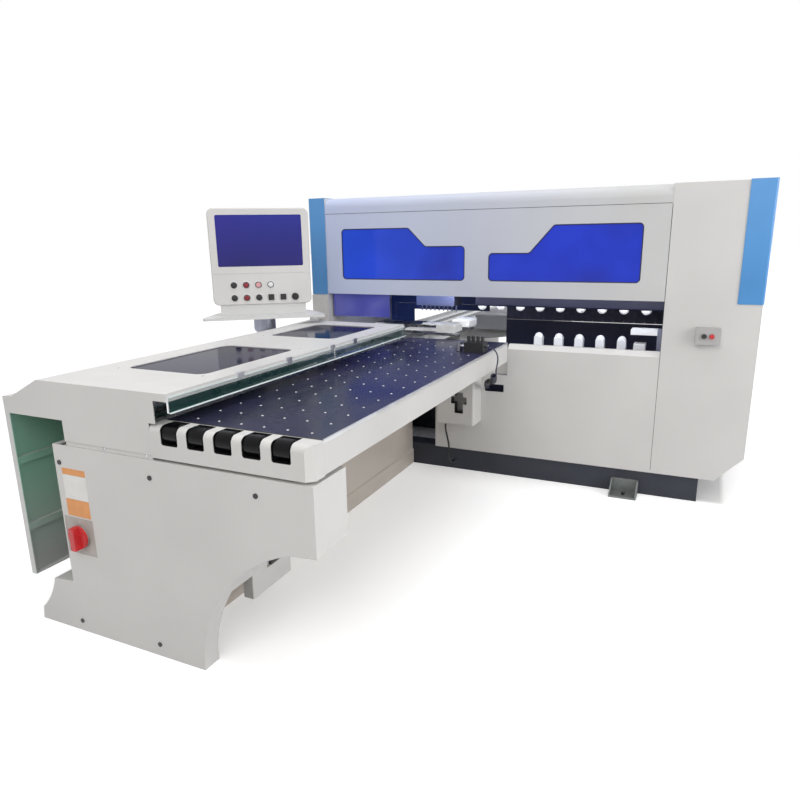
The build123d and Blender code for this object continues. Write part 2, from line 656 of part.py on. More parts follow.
def bed_supports():
    """Bar under the throat with its two uprights, the posts with domed caps and the side stop."""
    y = (PRESS_Y - PRESS_DEPTH / 2, PRESS_Y + PRESS_DEPTH / 2)
    x = (LOWER_LEFT + 20, BAY_RIGHT - SEAT)
    low = POST_BASE - BAR_HEIGHT
    bar = block(x, y, (low, POST_BASE))
    foot_y = FRONT + 2 * LOWER_LIP + FREE
    half = UPRIGHT_WIDTH / 2
    for leg_x in (x[0] + half, x[1] - half - OVERHANG):
        leg = (leg_x - half, leg_x + half)
        bar += block(leg, y, (PLINTH_HEIGHT, low))
        bar += block(leg, (foot_y, y[1]), (PLINTH_HEIGHT, PLINTH_HEIGHT + UPRIGHT_FOOT))
    half = POST_WIDTH / 2
    cap = Sphere(half) & block((-half, half), (-half, half), (0, half))
    for i in range(POST_COUNT):
        px = POST_FIRST + i * PAD_PITCH
        bar += block((px - half, px + half), (PRESS_Y - half, PRESS_Y + half), (POST_BASE, POST_TOP - half))
        bar += Pos(px, PRESS_Y, POST_TOP - half) * cap
    stop = block(SIDE_STOP_X, FENCE_Y, (POST_BASE, SIDE_STOP_TOP))
    stop += block((SIDE_STOP_X[0], x[1]), FENCE_Y, (low, POST_BASE))
    shelf = block((SHELF_LEFT, FENCE_WALL), FENCE_Y, (SHELF_BOTTOM, FENCE_TOP))
    wall = block((FENCE_WALL, x[1]), FENCE_Y, (low, FENCE_TOP))
    tie = block((SIDE_STOP_X[0], x[1]), (FENCE_Y[1], y[0]), (low, POST_BASE))
    return bar + stop + shelf + wall + tie


def throat_curtain():
    """Clear strip curtain on a clamp rail at the left of the throat."""
    y = FRONT + CURTAIN_OFFSET
    rail = block((BAY_LEFT + SEAT, CURTAIN_RIGHT + 6), (y - 8, y + 8), CURTAIN_RAIL)
    sheet = block((BAY_LEFT + 16, CURTAIN_RIGHT), (y - 1.5, y + 1.5), (GRIPPER_TOP + 7, CURTAIN_RAIL[0]))
    return rail + sheet


def button_box():
    w, d, h = BUTTON_BOX_SIZE
    x, z = BUTTON_BOX_X, BUTTON_BOX_Z
    y = (FRONT - d, FRONT - SEAT)
    box = block((x - w / 2, x + w / 2), y, (z - h / 2, z + h / 2))
    box = fillet(box.edges().filter_by(Axis.Y), 8)
    for side in (-0.5, 0.5):
        px = x + side * BUTTON_SPREAD
        box += rod_y(BUTTON_RADIUS + BUTTON_RING, FRONT - d - SHEET, FRONT - d, px, z)
        box -= rod_y(BUTTON_RADIUS + SLIDE, FRONT - d - SHEET - 1, FRONT - d + BUTTON_WELL, px, z)
    return box


def push_button(side):
    face = FRONT - BUTTON_BOX_SIZE[1]
    x = BUTTON_BOX_X + side * BUTTON_SPREAD
    y = (face - SHEET - BUTTON_TRAVEL - 2, face + BUTTON_WELL - SEAT - BUTTON_TRAVEL)
    cap = rod_y(BUTTON_RADIUS, *y, x, BUTTON_BOX_Z)
    return fillet(cap.edges().sort_by(Axis.Y)[0], 2.5)


def valve_box():
    """Sheet box on the lower front panel with a cross-shaped opening."""
    y = (FRONT - VALVE_BOX_DEPTH, FRONT - SEAT)
    x = VALVE_BOX_X
    z = VALVE_BOX_Z
    box = block(x, y, z)
    box = fillet(box.edges().filter_by(Axis.Z).sort_by(Axis.Y)[0:2], 14)
    cross = Pos(CROSS_X, CROSS_Z) * Rectangle(*CROSS_STEM)
    cross += Pos(CROSS_X, CROSS_Z + CROSS_SHIFT) * Rectangle(*CROSS_ARM)
    box -= along_y(cross, y[0] - 1, y[0] + CROSS_DEPTH)
    box += rod_z(CABLE_RADIUS + GLAND_WALL, z[0] - GLAND_LENGTH, z[0], VALVE_CABLE[0][0], VALVE_CABLE[0][1])
    return box


# Feed arm

def bed_section(inset):
    x0 = BED_LEFT
    x1 = BED_RIGHT
    s = BED_BAND_STEP
    return outline([(x0 + inset, 0), (x1 - inset, 0), (x1 - inset, BED_BAND), (x1 - s - inset, BED_BAND + s),
                    (x1 - s - inset, BED_TOP - inset), (x0 + s + inset, BED_TOP - inset),
                    (x0 + s + inset, BED_BAND + s), (x0 + inset, BED_BAND)])


def arm_brackets(y_list):
    """Cantilever arms from the bed's side to the table frame."""
    root = BED_RIGHT - BED_BAND_STEP
    low = BED_TOP - ARM_ROOT_HEIGHT
    top = TABLE_BOTTOM - SEAT
    tip = TABLE_RIGHT - 60
    arm = outline([(root, low), (root + 150, low + 20), (tip, top - ARM_TIP_HEIGHT), (tip, top),
                   (TABLE_LEFT, top), (TABLE_LEFT - 30, BED_TOP), (root, BED_TOP)])
    return [along_y(arm, y - ARM_PLATE / 2, y + ARM_PLATE / 2) for y in y_list]


def feed_bed():
    """Welded bed under the arm, from the end panel to the plinth."""
    front = ARM_FRONT + SHEET + SEAT
    back = FRONT + PLINTH_RECESS - SEAT
    bed = along_y(bed_section(0), ARM_FRONT + PANEL_FLANGE + HEAD_DEPTH, back)
    bed += along_y(bed_section(BED_BAND_STEP), front, back)
    span = TABLE_REAR - TABLE_FRONT
    for arm in arm_brackets([TABLE_FRONT + span * k for k in (0.3, 0.55, 0.8)]):
        bed += arm
    return bed


def feed_beam():
    """Beam for the grippers, through the whole machine, with two rails and a slot on top."""
    x0 = BEAM_LEFT
    x1 = BEAM_RIGHT
    low = BED_TOP + SEAT
    top = BEAM_TOP
    slot = RACK_SLOT_WIDTH / 2
    deep = top - RACK_SLOT_DEPTH
    mid = (x0 + x1) / 2
    section = outline([(x0, low), (x1, low), (x1, top), (mid + slot, top), (mid + slot, deep),
                       (mid - slot, deep), (mid - slot, top), (x0, top)])
    y = (ARM_FRONT + SHEET + 30, ARM_REAR - 30)
    beam = along_y(section, *y)
    for rail_x in (x0 + RAIL_INSET, x1 - RAIL_INSET):
        beam += block((rail_x - RAIL_WIDTH / 2, rail_x + RAIL_WIDTH / 2), y, (top, top + RAIL_HEIGHT))
    return beam


def table_frame():
    """Tray under the float plate, which also feeds its air."""
    x = (TABLE_LEFT, TABLE_RIGHT)
    y = (TABLE_FRONT, TABLE_REAR)
    z = (TABLE_BOTTOM, PLATE_BOTTOM - SEAT)
    frame = block(x, y, z)
    t = SHEET
    frame -= block((x[0] + t, x[1] - t), (y[0] + t, y[1] - t), (z[0] + t, z[1] + 1))
    step = (TABLE_REAR - TABLE_FRONT) / 5
    for i in range(1, 5):
        rib_y = TABLE_FRONT + i * step
        frame += block((x[0] + t, x[1] - t), (rib_y - t / 2, rib_y + t / 2), (z[0] + t, z[1]))
    return frame


def float_plate():
    x = (TABLE_LEFT, TABLE_RIGHT - TRIM_WIDTH - SEAT)
    return block(x, (TABLE_FRONT, TABLE_REAR), (PLATE_BOTTOM, TABLE_TOP))


def edge_trim():
    """Grooved aluminium strip along the table's right edge."""
    x1 = TABLE_RIGHT
    x0 = x1 - TRIM_WIDTH
    z1 = TABLE_TOP
    z0 = PLATE_BOTTOM
    g = 1.6
    section = outline([(x0, z0), (x1, z0), (x1, z1), (x1 - 2, z1), (x1 - 2, z1 - g), (x0 + 2, z1 - g),
                       (x0 + 2, z1), (x0, z1)])
    return along_y(section, TABLE_FRONT, TABLE_REAR)


def roller_x(i):
    return ROLLER_FIRST + i * ROLLER_PITCH


def roller_housing():
    """Nose of the table with a rounded front edge, five cut-outs and the axle in it."""
    y0 = TABLE_FRONT - NOSE_DEPTH
    y1 = TABLE_FRONT - SEAT
    top = TABLE_TOP - 1
    r = NOSE_RADIUS
    face = Line((y0, NOSE_BOTTOM), (y0, top - r))
    bend = RadiusArc((y0, top - r), (y0 + r, top), r)
    rest = Polyline((y0 + r, top), (y1, top), (y1, NOSE_BOTTOM), (y0, NOSE_BOTTOM))
    nose = along_x(make_face(Curve() + [face, bend, rest]), TABLE_LEFT - 10, TABLE_RIGHT)
    corner = outline([(TABLE_RIGHT - NOSE_CHAMFER, y0 - 1), (TABLE_RIGHT + 1, y0 - 1),
                      (TABLE_RIGHT + 1, y0 + NOSE_CHAMFER)])
    nose -= along_z(corner, NOSE_BOTTOM - 1, top + 1)
    half = ROLLER_WINDOW / 2
    for i in range(ROLLER_COUNT):
        x = roller_x(i)
        room = block((x - half, x + half), (y0 - 1, ROLLER_Y + ROLLER_RADIUS + 2),
                     (ROLLER_Z - ROLLER_RADIUS - FREE, top + 1))
        low = room.edges().filter_by(Axis.Y).sort_by(Axis.Z)[0:2]
        nose -= fillet(low, 8)
    nose += rod_x(AXLE_RADIUS, roller_x(0) - half, roller_x(ROLLER_COUNT - 1) + half, ROLLER_Y, ROLLER_Z)
    return nose


def front_roller(i):
    x = roller_x(i)
    half = ROLLER_LENGTH / 2
    roller = rod_x(ROLLER_RADIUS, x - half, x + half, ROLLER_Y, ROLLER_Z)
    roller = chamfer(roller.edges().filter_by(GeomType.CIRCLE), 4)
    return roller - rod_x(AXLE_RADIUS + RUN, x - half - 1, x + half + 1, ROLLER_Y, ROLLER_Z)


def corbel_outline(i):
    """End panel's outline in X and Z, moved in by i: leg, left foot and the arch under the table."""
    foot = PANEL_LEFT - FOOT_REACH + i
    toe = (foot + FOOT_TOE[0], FOOT_TOE[1])
    knee = (foot + FOOT_KNEE[0], FOOT_KNEE[1])
    slope = (PANEL_LEFT - FOOT_SLOPE + i, FOOT_TOP - i)
    neck = (PANEL_LEFT + i, FOOT_TOP + 10 - i)
    arch = (TABLE_RIGHT - ARCH_END, PANEL_CHIN - 8 + i)
    bow = (ARCH_MIDDLE[0] - 0.7 * i, ARCH_MIDDLE[1] + 0.7 * i)
    leg = (LEG_RIGHT - i, ARCH_FOOT)
    right = TABLE_RIGHT - i
    top = PANEL_TOP - i
    upper = Polyline((PANEL_LEFT + i, top), (right, top), (right, PANEL_CHIN + i), arch)
    lower = Polyline(leg, (LEG_RIGHT - i, i), (foot, i), toe)
    left = Polyline(slope, neck, (PANEL_LEFT + i, top))
    return make_face(Curve() + [upper, ThreePointArc(arch, bow, leg), lower, ThreePointArc(toe, knee, slope), left])


def end_panel():
    """Front leg cover: one sheet with its edges folded back, deeper under the table."""
    y0 = ARM_FRONT
    shell = along_y(corbel_outline(0), y0, y0 + PANEL_FLANGE)
    shell -= along_y(corbel_outline(SHEET), y0 + SHEET, y0 + PANEL_FLANGE + 1)
    head = along_y(corbel_outline(0), y0 + PANEL_FLANGE, y0 + HEAD_DEPTH)
    head -= along_y(corbel_outline(SHEET), y0 + PANEL_FLANGE - 1, y0 + HEAD_DEPTH + 1)
    head &= block((BED_RIGHT + 2, TABLE_RIGHT + 1), (y0, y0 + HEAD_DEPTH), (HEAD_BOTTOM, PANEL_TOP + 1))
    return shell + head - switch_pocket() - bed_way()


def bed_way():
    """Room for the bed where it runs up behind the panel's face."""
    return block((BED_LEFT - 1, BED_RIGHT + 1), (ARM_FRONT + SHEET, FRONT), (-1, BED_TOP + 1))


def switch_pocket():
    h = SWITCH_SIZE / 2
    through = (ARM_FRONT - 1, ARM_FRONT + SHEET + 1)
    return block((SWITCH_X - h, SWITCH_X + h), through, (SWITCH_Z - h, SWITCH_Z + h))


def hole_plugs():
    back = ARM_FRONT - SEAT
    return [rod_y(PLUG_RADIUS, back - PLUG_HEIGHT, back, x, z) for x, z in PLUG_PLACES]


def switch_base():
    """Dark plate set into the end panel, with the spindle bush of the main switch."""
    h = SWITCH_SIZE / 2 - SEAT
    y0 = ARM_FRONT + SHEET / 2
    plate = block((SWITCH_X - h, SWITCH_X + h), (y0, ARM_FRONT + SHEET), (SWITCH_Z - h, SWITCH_Z + h))
    plate += rod_y(KNOB_RADIUS - 6, y0 - SWITCH_BUSH, y0, SWITCH_X, SWITCH_Z)
    return plate - rod_y(SWITCH_PIN, y0 - SWITCH_BUSH - 1, ARM_FRONT + SHEET + 1, SWITCH_X, SWITCH_Z)


def switch_knob():
    y1 = ARM_FRONT + SHEET / 2 - SWITCH_BUSH - SEAT
    y0 = y1 - KNOB_LENGTH
    half = GRIP_WIDTH / 2
    disc = rod_y(KNOB_RADIUS, y1 - KNOB_DISC, y1, SWITCH_X, SWITCH_Z)
    grip = block((SWITCH_X - half, SWITCH_X + half), (y0, y1 - KNOB_DISC + 1),
                 (SWITCH_Z - KNOB_RADIUS, SWITCH_Z + KNOB_RADIUS))
    grip &= rod_y(KNOB_RADIUS, y0 - 1, y1, SWITCH_X, SWITCH_Z)
    grip = fillet(grip.edges().group_by(Axis.Y)[0], 3)
    pin = rod_y(SWITCH_PIN - RUN, y1 - 1, ARM_FRONT + SHEET, SWITCH_X, SWITCH_Z)
    return disc + grip + pin


def service_box():
    """Narrow cable box hung behind the front leg."""
    x = (LEG_RIGHT - SERVICE_WIDTH, LEG_RIGHT)
    y = SERVICE_Y
    z = SERVICE_Z
    box = block(x, y, z)
    hanger = block((BED_RIGHT - BED_BAND_STEP + SEAT, x[0]), (y[0] + HANGER_INSET, y[1] - HANGER_INSET),
                   (z[1] - HANGER_DROP[0], z[1] - HANGER_DROP[1]))
    pocket = block((x[1] - SERVICE_POCKET, x[1] + 1), (y[0] + POCKET_Y[0], y[0] + POCKET_Y[1]),
                   (z[0] + POCKET_Z[0], z[0] + POCKET_Z[1]))
    return fillet(box.edges().filter_by(Axis.Z), 4) + hanger - pocket


def cover_profile(inset):
    """Hood outline in X and Z."""
    i = inset
    low = COVER_EAVE_Z - 4
    drop = COVER_LIP if i == 0 else COVER_LIP + 10
    floor = COVER_EDGE if i == 0 else COVER_EDGE - 20
    return outline([(COVER_LEFT + i, floor), (COVER_LEFT + i, low - i), (COVER_EAVE + i / 2, COVER_EAVE_Z - i),
                    (COVER_RIDGE + i / 2, COVER_TOP - i), (COVER_RIGHT - i, COVER_TOP - i),
                    (COVER_RIGHT - i, COVER_TOP - drop)])


def cover_front():
    """Closing plate at the hood's front, down to the end panel."""
    left = COVER_LEFT + SKIRT_FOLD + SEAT
    sill = TABLE_TOP + FREE
    inner = TABLE_LEFT - 12
    return outline([(left, COVER_APRON), (left, COVER_EDGE), (COVER_LEFT, COVER_EDGE),
                    (COVER_LEFT, COVER_EAVE_Z - 4), (COVER_EAVE, COVER_EAVE_Z), (COVER_RIDGE, COVER_TOP),
                    (COVER_RIGHT, COVER_TOP), (COVER_RIGHT, MOUTH_TOP), (MOUTH_X, MOUTH_TOP), (MOUTH_X, sill),
                    (inner, sill), (inner, COVER_FRONT_BOTTOM), (COVER_STEP, COVER_FRONT_BOTTOM),
                    (COVER_STEP, COVER_APRON)])


def sight_shape(y):
    x0, x1 = SIGHT_X
    shape = Rectangle(x1 - x0, y[1] - y[0])
    return Pos((x0 + x1) / 2, (y[0] + y[1]) / 2) * fillet(shape.vertices(), SIGHT_RADIUS)


def feed_cover():
    """Folded hood over the grippers, with two window openings and a front plate."""
    t = SHEET
    outer = along_y(cover_profile(0), ARM_FRONT, COVER_REAR)
    hood = outer - along_y(cover_profile(t), ARM_FRONT - 1, COVER_REAR + 1)
    hood += along_y(cover_front(), ARM_FRONT, ARM_FRONT + t)
    for y in (SIGHT_FRONT_Y, SIGHT_REAR_Y):
        hood -= along_z(sight_shape(y), COVER_TOP - t - 1, COVER_TOP + 1)
    sill_y = (ARM_FRONT + t, ARM_FRONT + t + COVER_SILL)
    hood += block((COVER_STEP, TABLE_LEFT - 12), sill_y, (PANEL_TOP + SEAT, COVER_FRONT_BOTTOM + 12))
    foot_x = (BED_LEFT + COVER_FOOT[0], BED_LEFT + COVER_FOOT[0] + COVER_FOOT[1])
    half = COVER_FOOT[2] / 2
    for y in (ARM_FRONT + 120, (ARM_FRONT + COVER_REAR) / 2, COVER_REAR - 60):
        hood += block(foot_x, (y - half, y + half), (BED_TOP + SEAT, COVER_TOP - t))
    return hood


def cover_windows():
    low = COVER_TOP - SHEET - SEAT - PANE
    return [along_z(offset(sight_shape(y), WINDOW_LAP), low, low + PANE) for y in (SIGHT_FRONT_Y, SIGHT_REAR_Y)]


def cover_guard():
    """Clear strip hung from the hood's right edge, over the table."""
    x0 = COVER_RIGHT + SEAT
    low = GUARD_BOTTOM
    section = outline([(x0, GUARD_TOP), (x0, low + 12), (x0 + 8, low), (x0 + 12, low), (x0 + PANE, low + 14),
                       (x0 + PANE, GUARD_TOP)])
    return along_y(section, ARM_FRONT + SHEET, COVER_REAR)


def side_skirt():
    """Hanging side sheet with folded edges and two stiffeners on its inner face."""
    x0 = COVER_LEFT
    t = SHEET
    f = SKIRT_FOLD
    y = (ARM_FRONT, ARM_FRONT + SKIRT_LENGTH)
    top = COVER_EDGE - SEAT
    sheet = block((x0, x0 + f), y, (SKIRT_BOTTOM, top))
    sheet -= block((x0 + t, x0 + f + 1), (y[0] + t, y[1] - t), (SKIRT_BOTTOM + t, top - t))
    half = SKIRT_RIB_HEIGHT / 2
    for z in SKIRT_RIBS:
        sheet += block((x0 + t, x0 + f - 8), (y[0] + t, y[1] - t), (z - half, z + half))
    return sheet


def gripper_parts(y):
    """Carriage with its lower jaw, and the upper jaw with its cylinder head."""
    half = GRIPPER_LENGTH / 2
    span = (y - half, y + half)
    x0 = BEAM_LEFT + 20
    x1 = BEAM_RIGHT - 20
    low = BEAM_TOP + 2
    deck = BEAM_TOP + RAIL_HEIGHT + 8
    body = block((x0, x1), span, (deck, deck + GRIPPER_DECK))
    for rail_x in (BEAM_LEFT + RAIL_INSET, BEAM_RIGHT - RAIL_INSET):
        shoe = block((rail_x - 32, rail_x + 32), span, (low, deck))
        gap = RAIL_WIDTH / 2 + SLIDE
        shoe -= block((rail_x - gap, rail_x + gap), (span[0] - 1, span[1] + 1),
                      (low - 1, BEAM_TOP + RAIL_HEIGHT + SLIDE))
        body += shoe
    finger = TABLE_TOP + FINGER_GAP
    body += block((x1 - 1, GRIPPER_TIP), (y - 40, y + 40), (finger, finger + FINGER_THICK))
    body = chamfer(body.edges().filter_by(Axis.Y).sort_by(Axis.X)[-2:], 2)
    jaw_low = finger + FINGER_THICK + JAW_OPEN
    head_x = (GRIPPER_TIP - GRIPPER_HEAD, GRIPPER_TIP)
    jaw = block((x1 + SEAT, head_x[1]), (y - 36, y + 36), (jaw_low, BRIDGE_TOP))
    head = block(head_x, (y - half * 0.9, y + half * 0.9), (jaw_low, GRIPPER_TOP))
    head = fillet(head.edges().filter_by(Axis.Y).sort_by(Axis.Z)[-2:], 14)
    return body, jaw + head


def pusher_body():
    """Side pusher standing on the float plate: slide block with four finned knobs."""
    top = TABLE_TOP + PUSHER_HEIGHT
    base = block(PUSHER_X, PUSHER_Y, (TABLE_TOP + SEAT, top))
    base = chamfer(base.edges().filter_by(Axis.Y).sort_by(Axis.Z)[-2:], 6)
    mid_y = PUSHER_MIDDLE
    first = PUSHER_X[0] + 14
    pitch = (PUSHER_X[1] - PUSHER_X[0] - 28) / (PUSHER_KNOBS - 1)
    for i in range(PUSHER_KNOBS):
        base += rod_z(9, top - 6, KNOB_TOP, first + i * pitch, mid_y)
    base -= rod_x(PUSHER_ROD + RUN, PUSHER_X[0] - 1, PUSHER_X[1] - 20, mid_y, PUSHER_ROD_Z)
    nipple = HOSE_ROUTE[0]
    return base + rod_x(HOSE_RADIUS + 4, PUSHER_X[1], *nipple)


def pusher_rod():
    """Rod and shoe that push a panel towards the grippers' side."""
    mid_y = PUSHER_MIDDLE
    shoe_x = PUSHER_X[0] - PUSHER_REACH
    rod = rod_x(PUSHER_ROD, shoe_x, PUSHER_X[1] - 40, mid_y, PUSHER_ROD_Z)
    shoe = block((shoe_x - PUSHER_SHOE, shoe_x), (PUSHER_Y[0] + 10, PUSHER_Y[1] - 10),
                 (TABLE_TOP + FREE, TABLE_TOP + PUSHER_HEIGHT - FREE))
    return rod + fillet(shoe.edges().filter_by(Axis.Z).sort_by(Axis.X)[0:2], 6)


def rear_table():
    """Rear stand: bed, leg and run-out table behind the gantry, welded as one."""
    y0 = REAR - PLINTH_RECESS + SEAT
    stand = along_y(bed_section(0), y0, ARM_REAR)
    x = (TABLE_LEFT, TABLE_RIGHT)
    y = (REAR_TABLE_FRONT, ARM_REAR)
    top = block(x, y, (TABLE_BOTTOM, TABLE_TOP))
    t = SHEET
    top -= block((x[0] + t, x[1] - t), (y[0] + t, y[1] - t), (TABLE_BOTTOM - 1, TABLE_TOP - t))
    for arm in arm_brackets(REAR_ARMS):
        stand += arm
    for rib_y in REAR_ARMS:
        rib = (rib_y - ARM_PLATE / 2, rib_y + ARM_PLATE / 2)
        stand += block((TABLE_LEFT + t, TABLE_RIGHT - 60), rib, (BED_TOP, TABLE_TOP - t))
    return stand + top


# Console

def console_place(shape):
    return Pos(CONSOLE_X, CONSOLE_Y, 0) * Rot(0, 0, CONSOLE_TURN) * shape


def console_bracket():
    """Hinge bracket on the left cabinet with two eyes and a pin."""
    back = FRONT - SEAT
    low = ARM_BOTTOM - EYE_HEIGHT
    high = ARM_TOP + EYE_HEIGHT
    bracket = block((PIVOT_X - 40, PIVOT_X + 60), (back - PLATE_BACK, back), (low, CORNER_BOTTOM - FREE))
    eye = Pos(PIVOT_X, PIVOT_Y) * Circle(PIVOT_RADIUS)
    eye += outline([(PIVOT_X - PIVOT_RADIUS, PIVOT_Y), (PIVOT_X + PIVOT_RADIUS, PIVOT_Y),
                    (PIVOT_X + PIVOT_RADIUS, back), (PIVOT_X - PIVOT_RADIUS, back)])
    for z in ((low, ARM_BOTTOM - SEAT), (ARM_TOP + SEAT, high)):
        bracket += along_z(eye, *z)
    return bracket + rod_z(PIN_RADIUS, low, high, PIVOT_X, PIVOT_Y)


def console_arm():
    """Swing arm, deep at the gantry and shallow under the console."""
    dx = CONSOLE_X - PIVOT_X
    dy = CONSOLE_Y - PIVOT_Y
    length = (dx * dx + dy * dy) ** 0.5
    low = ARM_BOTTOM + ARM_RISE
    top = HUB_BOTTOM - SEAT
    near = length - COLLAR_RADIUS / 2
    side = outline([(0, ARM_BOTTOM), (near, low), (near, top), (length - HUB_RADIUS - FREE, top), (0, ARM_TOP)])
    beam = Plane(origin=(PIVOT_X, PIVOT_Y, 0), x_dir=(dx / length, dy / length, 0),
                 z_dir=(dy / length, -dx / length, 0)) * side
    arm = extrude(beam, ARM_HALF, both=True)
    arm += rod_z(PIVOT_RADIUS, ARM_BOTTOM, ARM_TOP, PIVOT_X, PIVOT_Y)
    arm += rod_z(COLLAR_RADIUS, low, top, CONSOLE_X, CONSOLE_Y)
    arm -= rod_z(PIN_RADIUS + RUN, ARM_BOTTOM - 1, ARM_TOP + 1, PIVOT_X, PIVOT_Y)
    return arm + rod_z(PIN_RADIUS, top - 1, HUB_BOTTOM + EYE_HEIGHT, CONSOLE_X, CONSOLE_Y)


def console_post():
    """Turning hub under the console with the keyboard tray on it."""
    hub = rod_z(HUB_RADIUS, HUB_BOTTOM, TRAY_Z, 0, 0)
    hub = fillet(hub.edges().sort_by(Axis.Z)[0], 26)
    hub -= rod_z(PIN_RADIUS + RUN, HUB_BOTTOM - 1, HUB_BOTTOM + EYE_HEIGHT + FREE, 0, 0)
    tray = along_z(rounded(TRAY_POINTS, 14), TRAY_Z, TRAY_Z + TRAY_THICK)
    half = CONSOLE_DEPTH / 2 - PLATE_BACK
    neck = block((-NECK_WIDTH / 2, NECK_WIDTH / 2), (-half, half), (TRAY_Z + TRAY_THICK, CONSOLE_BOTTOM - SEAT))
    return console_place(hub + tray + neck)


def console_housing():
    """Flat housing: screen part above, slightly wider button part below."""
    w = CONSOLE_WIDTH / 2
    z0 = CONSOLE_BOTTOM
    z1 = z0 + CONSOLE_HEIGHT
    front = -CONSOLE_DEPTH / 2
    face = Pos(0, (z0 + z1) / 2) * Rectangle(2 * w, z1 - z0)
    face = fillet(face.vertices(), CONSOLE_RADIUS)
    box = along_y(face, front, -front)
    box = chamfer(box.edges().group_by(Axis.Y)[0], 5)
    screen_mid = z1 - SCREEN_TOP_EDGE - SCREEN_HEIGHT / 2
    room = Pos(0, screen_mid) * fillet(Rectangle(SCREEN_WIDTH, SCREEN_HEIGHT).vertices(), 8)
    box -= along_y(room, front - 1, front + SCREEN_DEPTH)
    key_top = z0 + KEY_ZONE
    box -= block((-w - 1, w + 1), (front - 1, front + 1.5), (key_top, key_top + 3))
    for x, z in BUTTON_PLACES:
        box -= rod_y(KEY_BORE, front - 1, front + KEY_DEPTH, x, z)
    return console_place(box)


def console_screen():
    front = -CONSOLE_DEPTH / 2
    mid = CONSOLE_BOTTOM + CONSOLE_HEIGHT - SCREEN_TOP_EDGE - SCREEN_HEIGHT / 2
    pane = fillet(Rectangle(SCREEN_WIDTH - 2 * SEAT, SCREEN_HEIGHT - 2 * SEAT).vertices(), 8)
    return console_place(along_y(Pos(0, mid) * pane, front + SHEET, front + SCREEN_DEPTH - SEAT))


def console_buttons():
    """Nine button heads with their bezels, seated in the console's face."""
    front = -CONSOLE_DEPTH / 2
    keys = []
    for n, (x, z) in enumerate(BUTTON_PLACES[:-1]):
        key = rod_y(KEY_BORE - SLIDE, front - 9, front + KEY_DEPTH - 2, x, z)
        if n in SQUARE_BUTTONS:
            half = KEY_SIZE / 2
            key += block((x - half, x + half), (front - 9, front - SEAT), (z - half, z + half))
        else:
            key += rod_y(KEY_BORE + 2, front - 4, front - SEAT, x, z)
        keys.append(console_place(key))
    return keys


def console_selector():
    front = -CONSOLE_DEPTH / 2
    x, z = BUTTON_PLACES[-1]
    knob = rod_y(SELECTOR_RADIUS, front - 8, front - SEAT, x, z)
    knob += block((x - 5, x + 5), (front - 20, front - 8), (z - 19, z + 19))
    knob += rod_y(KEY_BORE - RUN, front - 1, front + KEY_DEPTH - 2, x, z)
    return console_place(knob)


# Cords

def turn_radii(points):
    """0.45 of the shorter run, divided by the tangent of half the turn, at each inner point."""
    radii = []
    for a, b, c in zip(points, points[1:], points[2:]):
        first = Vector(*b) - Vector(*a)
        second = Vector(*c) - Vector(*b)
        turn = first.get_angle(second)
        radii.append(0.45 * min(first.length, second.length) / tan(radians(turn) / 2))
    return radii


def cord(name, points, radius):
    """Tube along straight runs joined by tangent arcs; prints its radii and volume ratio."""
    radii = turn_radii(points)
    path = FilletPolyline(*points, radius=radii)
    start = Plane(origin=path @ 0, z_dir=path % 0)
    tube = sweep(start * Circle(radius), path=path)
    ratio = tube.volume / (pi * radius * radius * path.length)
    print(name, "radii", [round(r) for r in radii])
    print(name, "length", round(path.length), "volume ratio", round(ratio, 4))
    return tube


def valve_cable():
    return cord("valve_cable", VALVE_CABLE, CABLE_RADIUS)


def air_hose():
    plain = cord("air_hose", HOSE_ROUTE, HOSE_RADIUS)
    coil = cord("air_hose coil", COIL_ROUTE, COIL_RADIUS)
    tail = cord("air_hose tail", TAIL_ROUTE, HOSE_RADIUS)
    return [plain, coil, tail]


save("plinth", plinth())
save("anchor_brackets", anchor_brackets())
save("left_cabinet", left_cabinet())
save("right_cabinet", right_cabinet())
save("corner_panels", [corner_panel(-1), corner_panel(1)])
save("roof_cover", roof_cover())
save("hatch", hatch())
save("hatch_windows", hatch_windows())
save("lower_front_panel", lower_front_panel())
save("rear_panel", rear_panel())
save("rear_curtain", rear_curtain())
save("crossbeams", [crossbeam(UPPER_BEAM_BOTTOM), crossbeam(LOWER_BEAM_BOTTOM)])
save("upper_carriage", drill_carriage(UPPER_HEAD_X, UPPER_BEAM_BOTTOM))
save("lower_carriage", drill_carriage(LOWER_HEAD_X, LOWER_BEAM_BOTTOM))
save("upper_head", drill_head(UPPER_HEAD_X, UPPER_BIT_TIP, -1))
save("lower_head", drill_head(LOWER_HEAD_X, LOWER_BIT_TIP, 1))
save("press_beam", press_beam())
save("press_pads", press_pads())
save("bed_supports", bed_supports())
save("throat_curtain", throat_curtain())
save("button_box", button_box())
save("start_button", push_button(-0.5))
save("stop_button", push_button(0.5))
save("valve_box", valve_box())
save("feed_bed", feed_bed())
save("feed_beam", feed_beam())
save("table_frame", table_frame())
save("float_plate", float_plate())
save("edge_trim", edge_trim())
save("roller_housing", roller_housing())
for i in range(ROLLER_COUNT):
    save(f"front_roller_{i + 1}", front_roller(i))
save("end_panel", end_panel())
save("hole_plugs", hole_plugs())
save("switch_base", switch_base())
save("switch_knob", switch_knob())
save("service_box", service_box())
save("feed_cover", feed_cover())
save("cover_windows", cover_windows())
save("cover_guard", cover_guard())
save("side_skirt", side_skirt())
for name, y in (("front", GRIPPER_FRONT_Y), ("rear", GRIPPER_FRONT_Y + GRIPPER_SPACING)):
    carriage, jaw = gripper_parts(y)
    save(f"{name}_gripper", carriage)
    save(f"{name}_gripper_jaw", jaw)
save("pusher_body", pusher_body())
save("pusher_rod", pusher_rod())
save("rear_table", rear_table())
save("console_bracket", console_bracket())
save("console_arm", console_arm())
save("console_post", console_post())
save("console_housing", console_housing())
save("console_screen", console_screen())
save("console_buttons", console_buttons())
save("console_selector", console_selector())
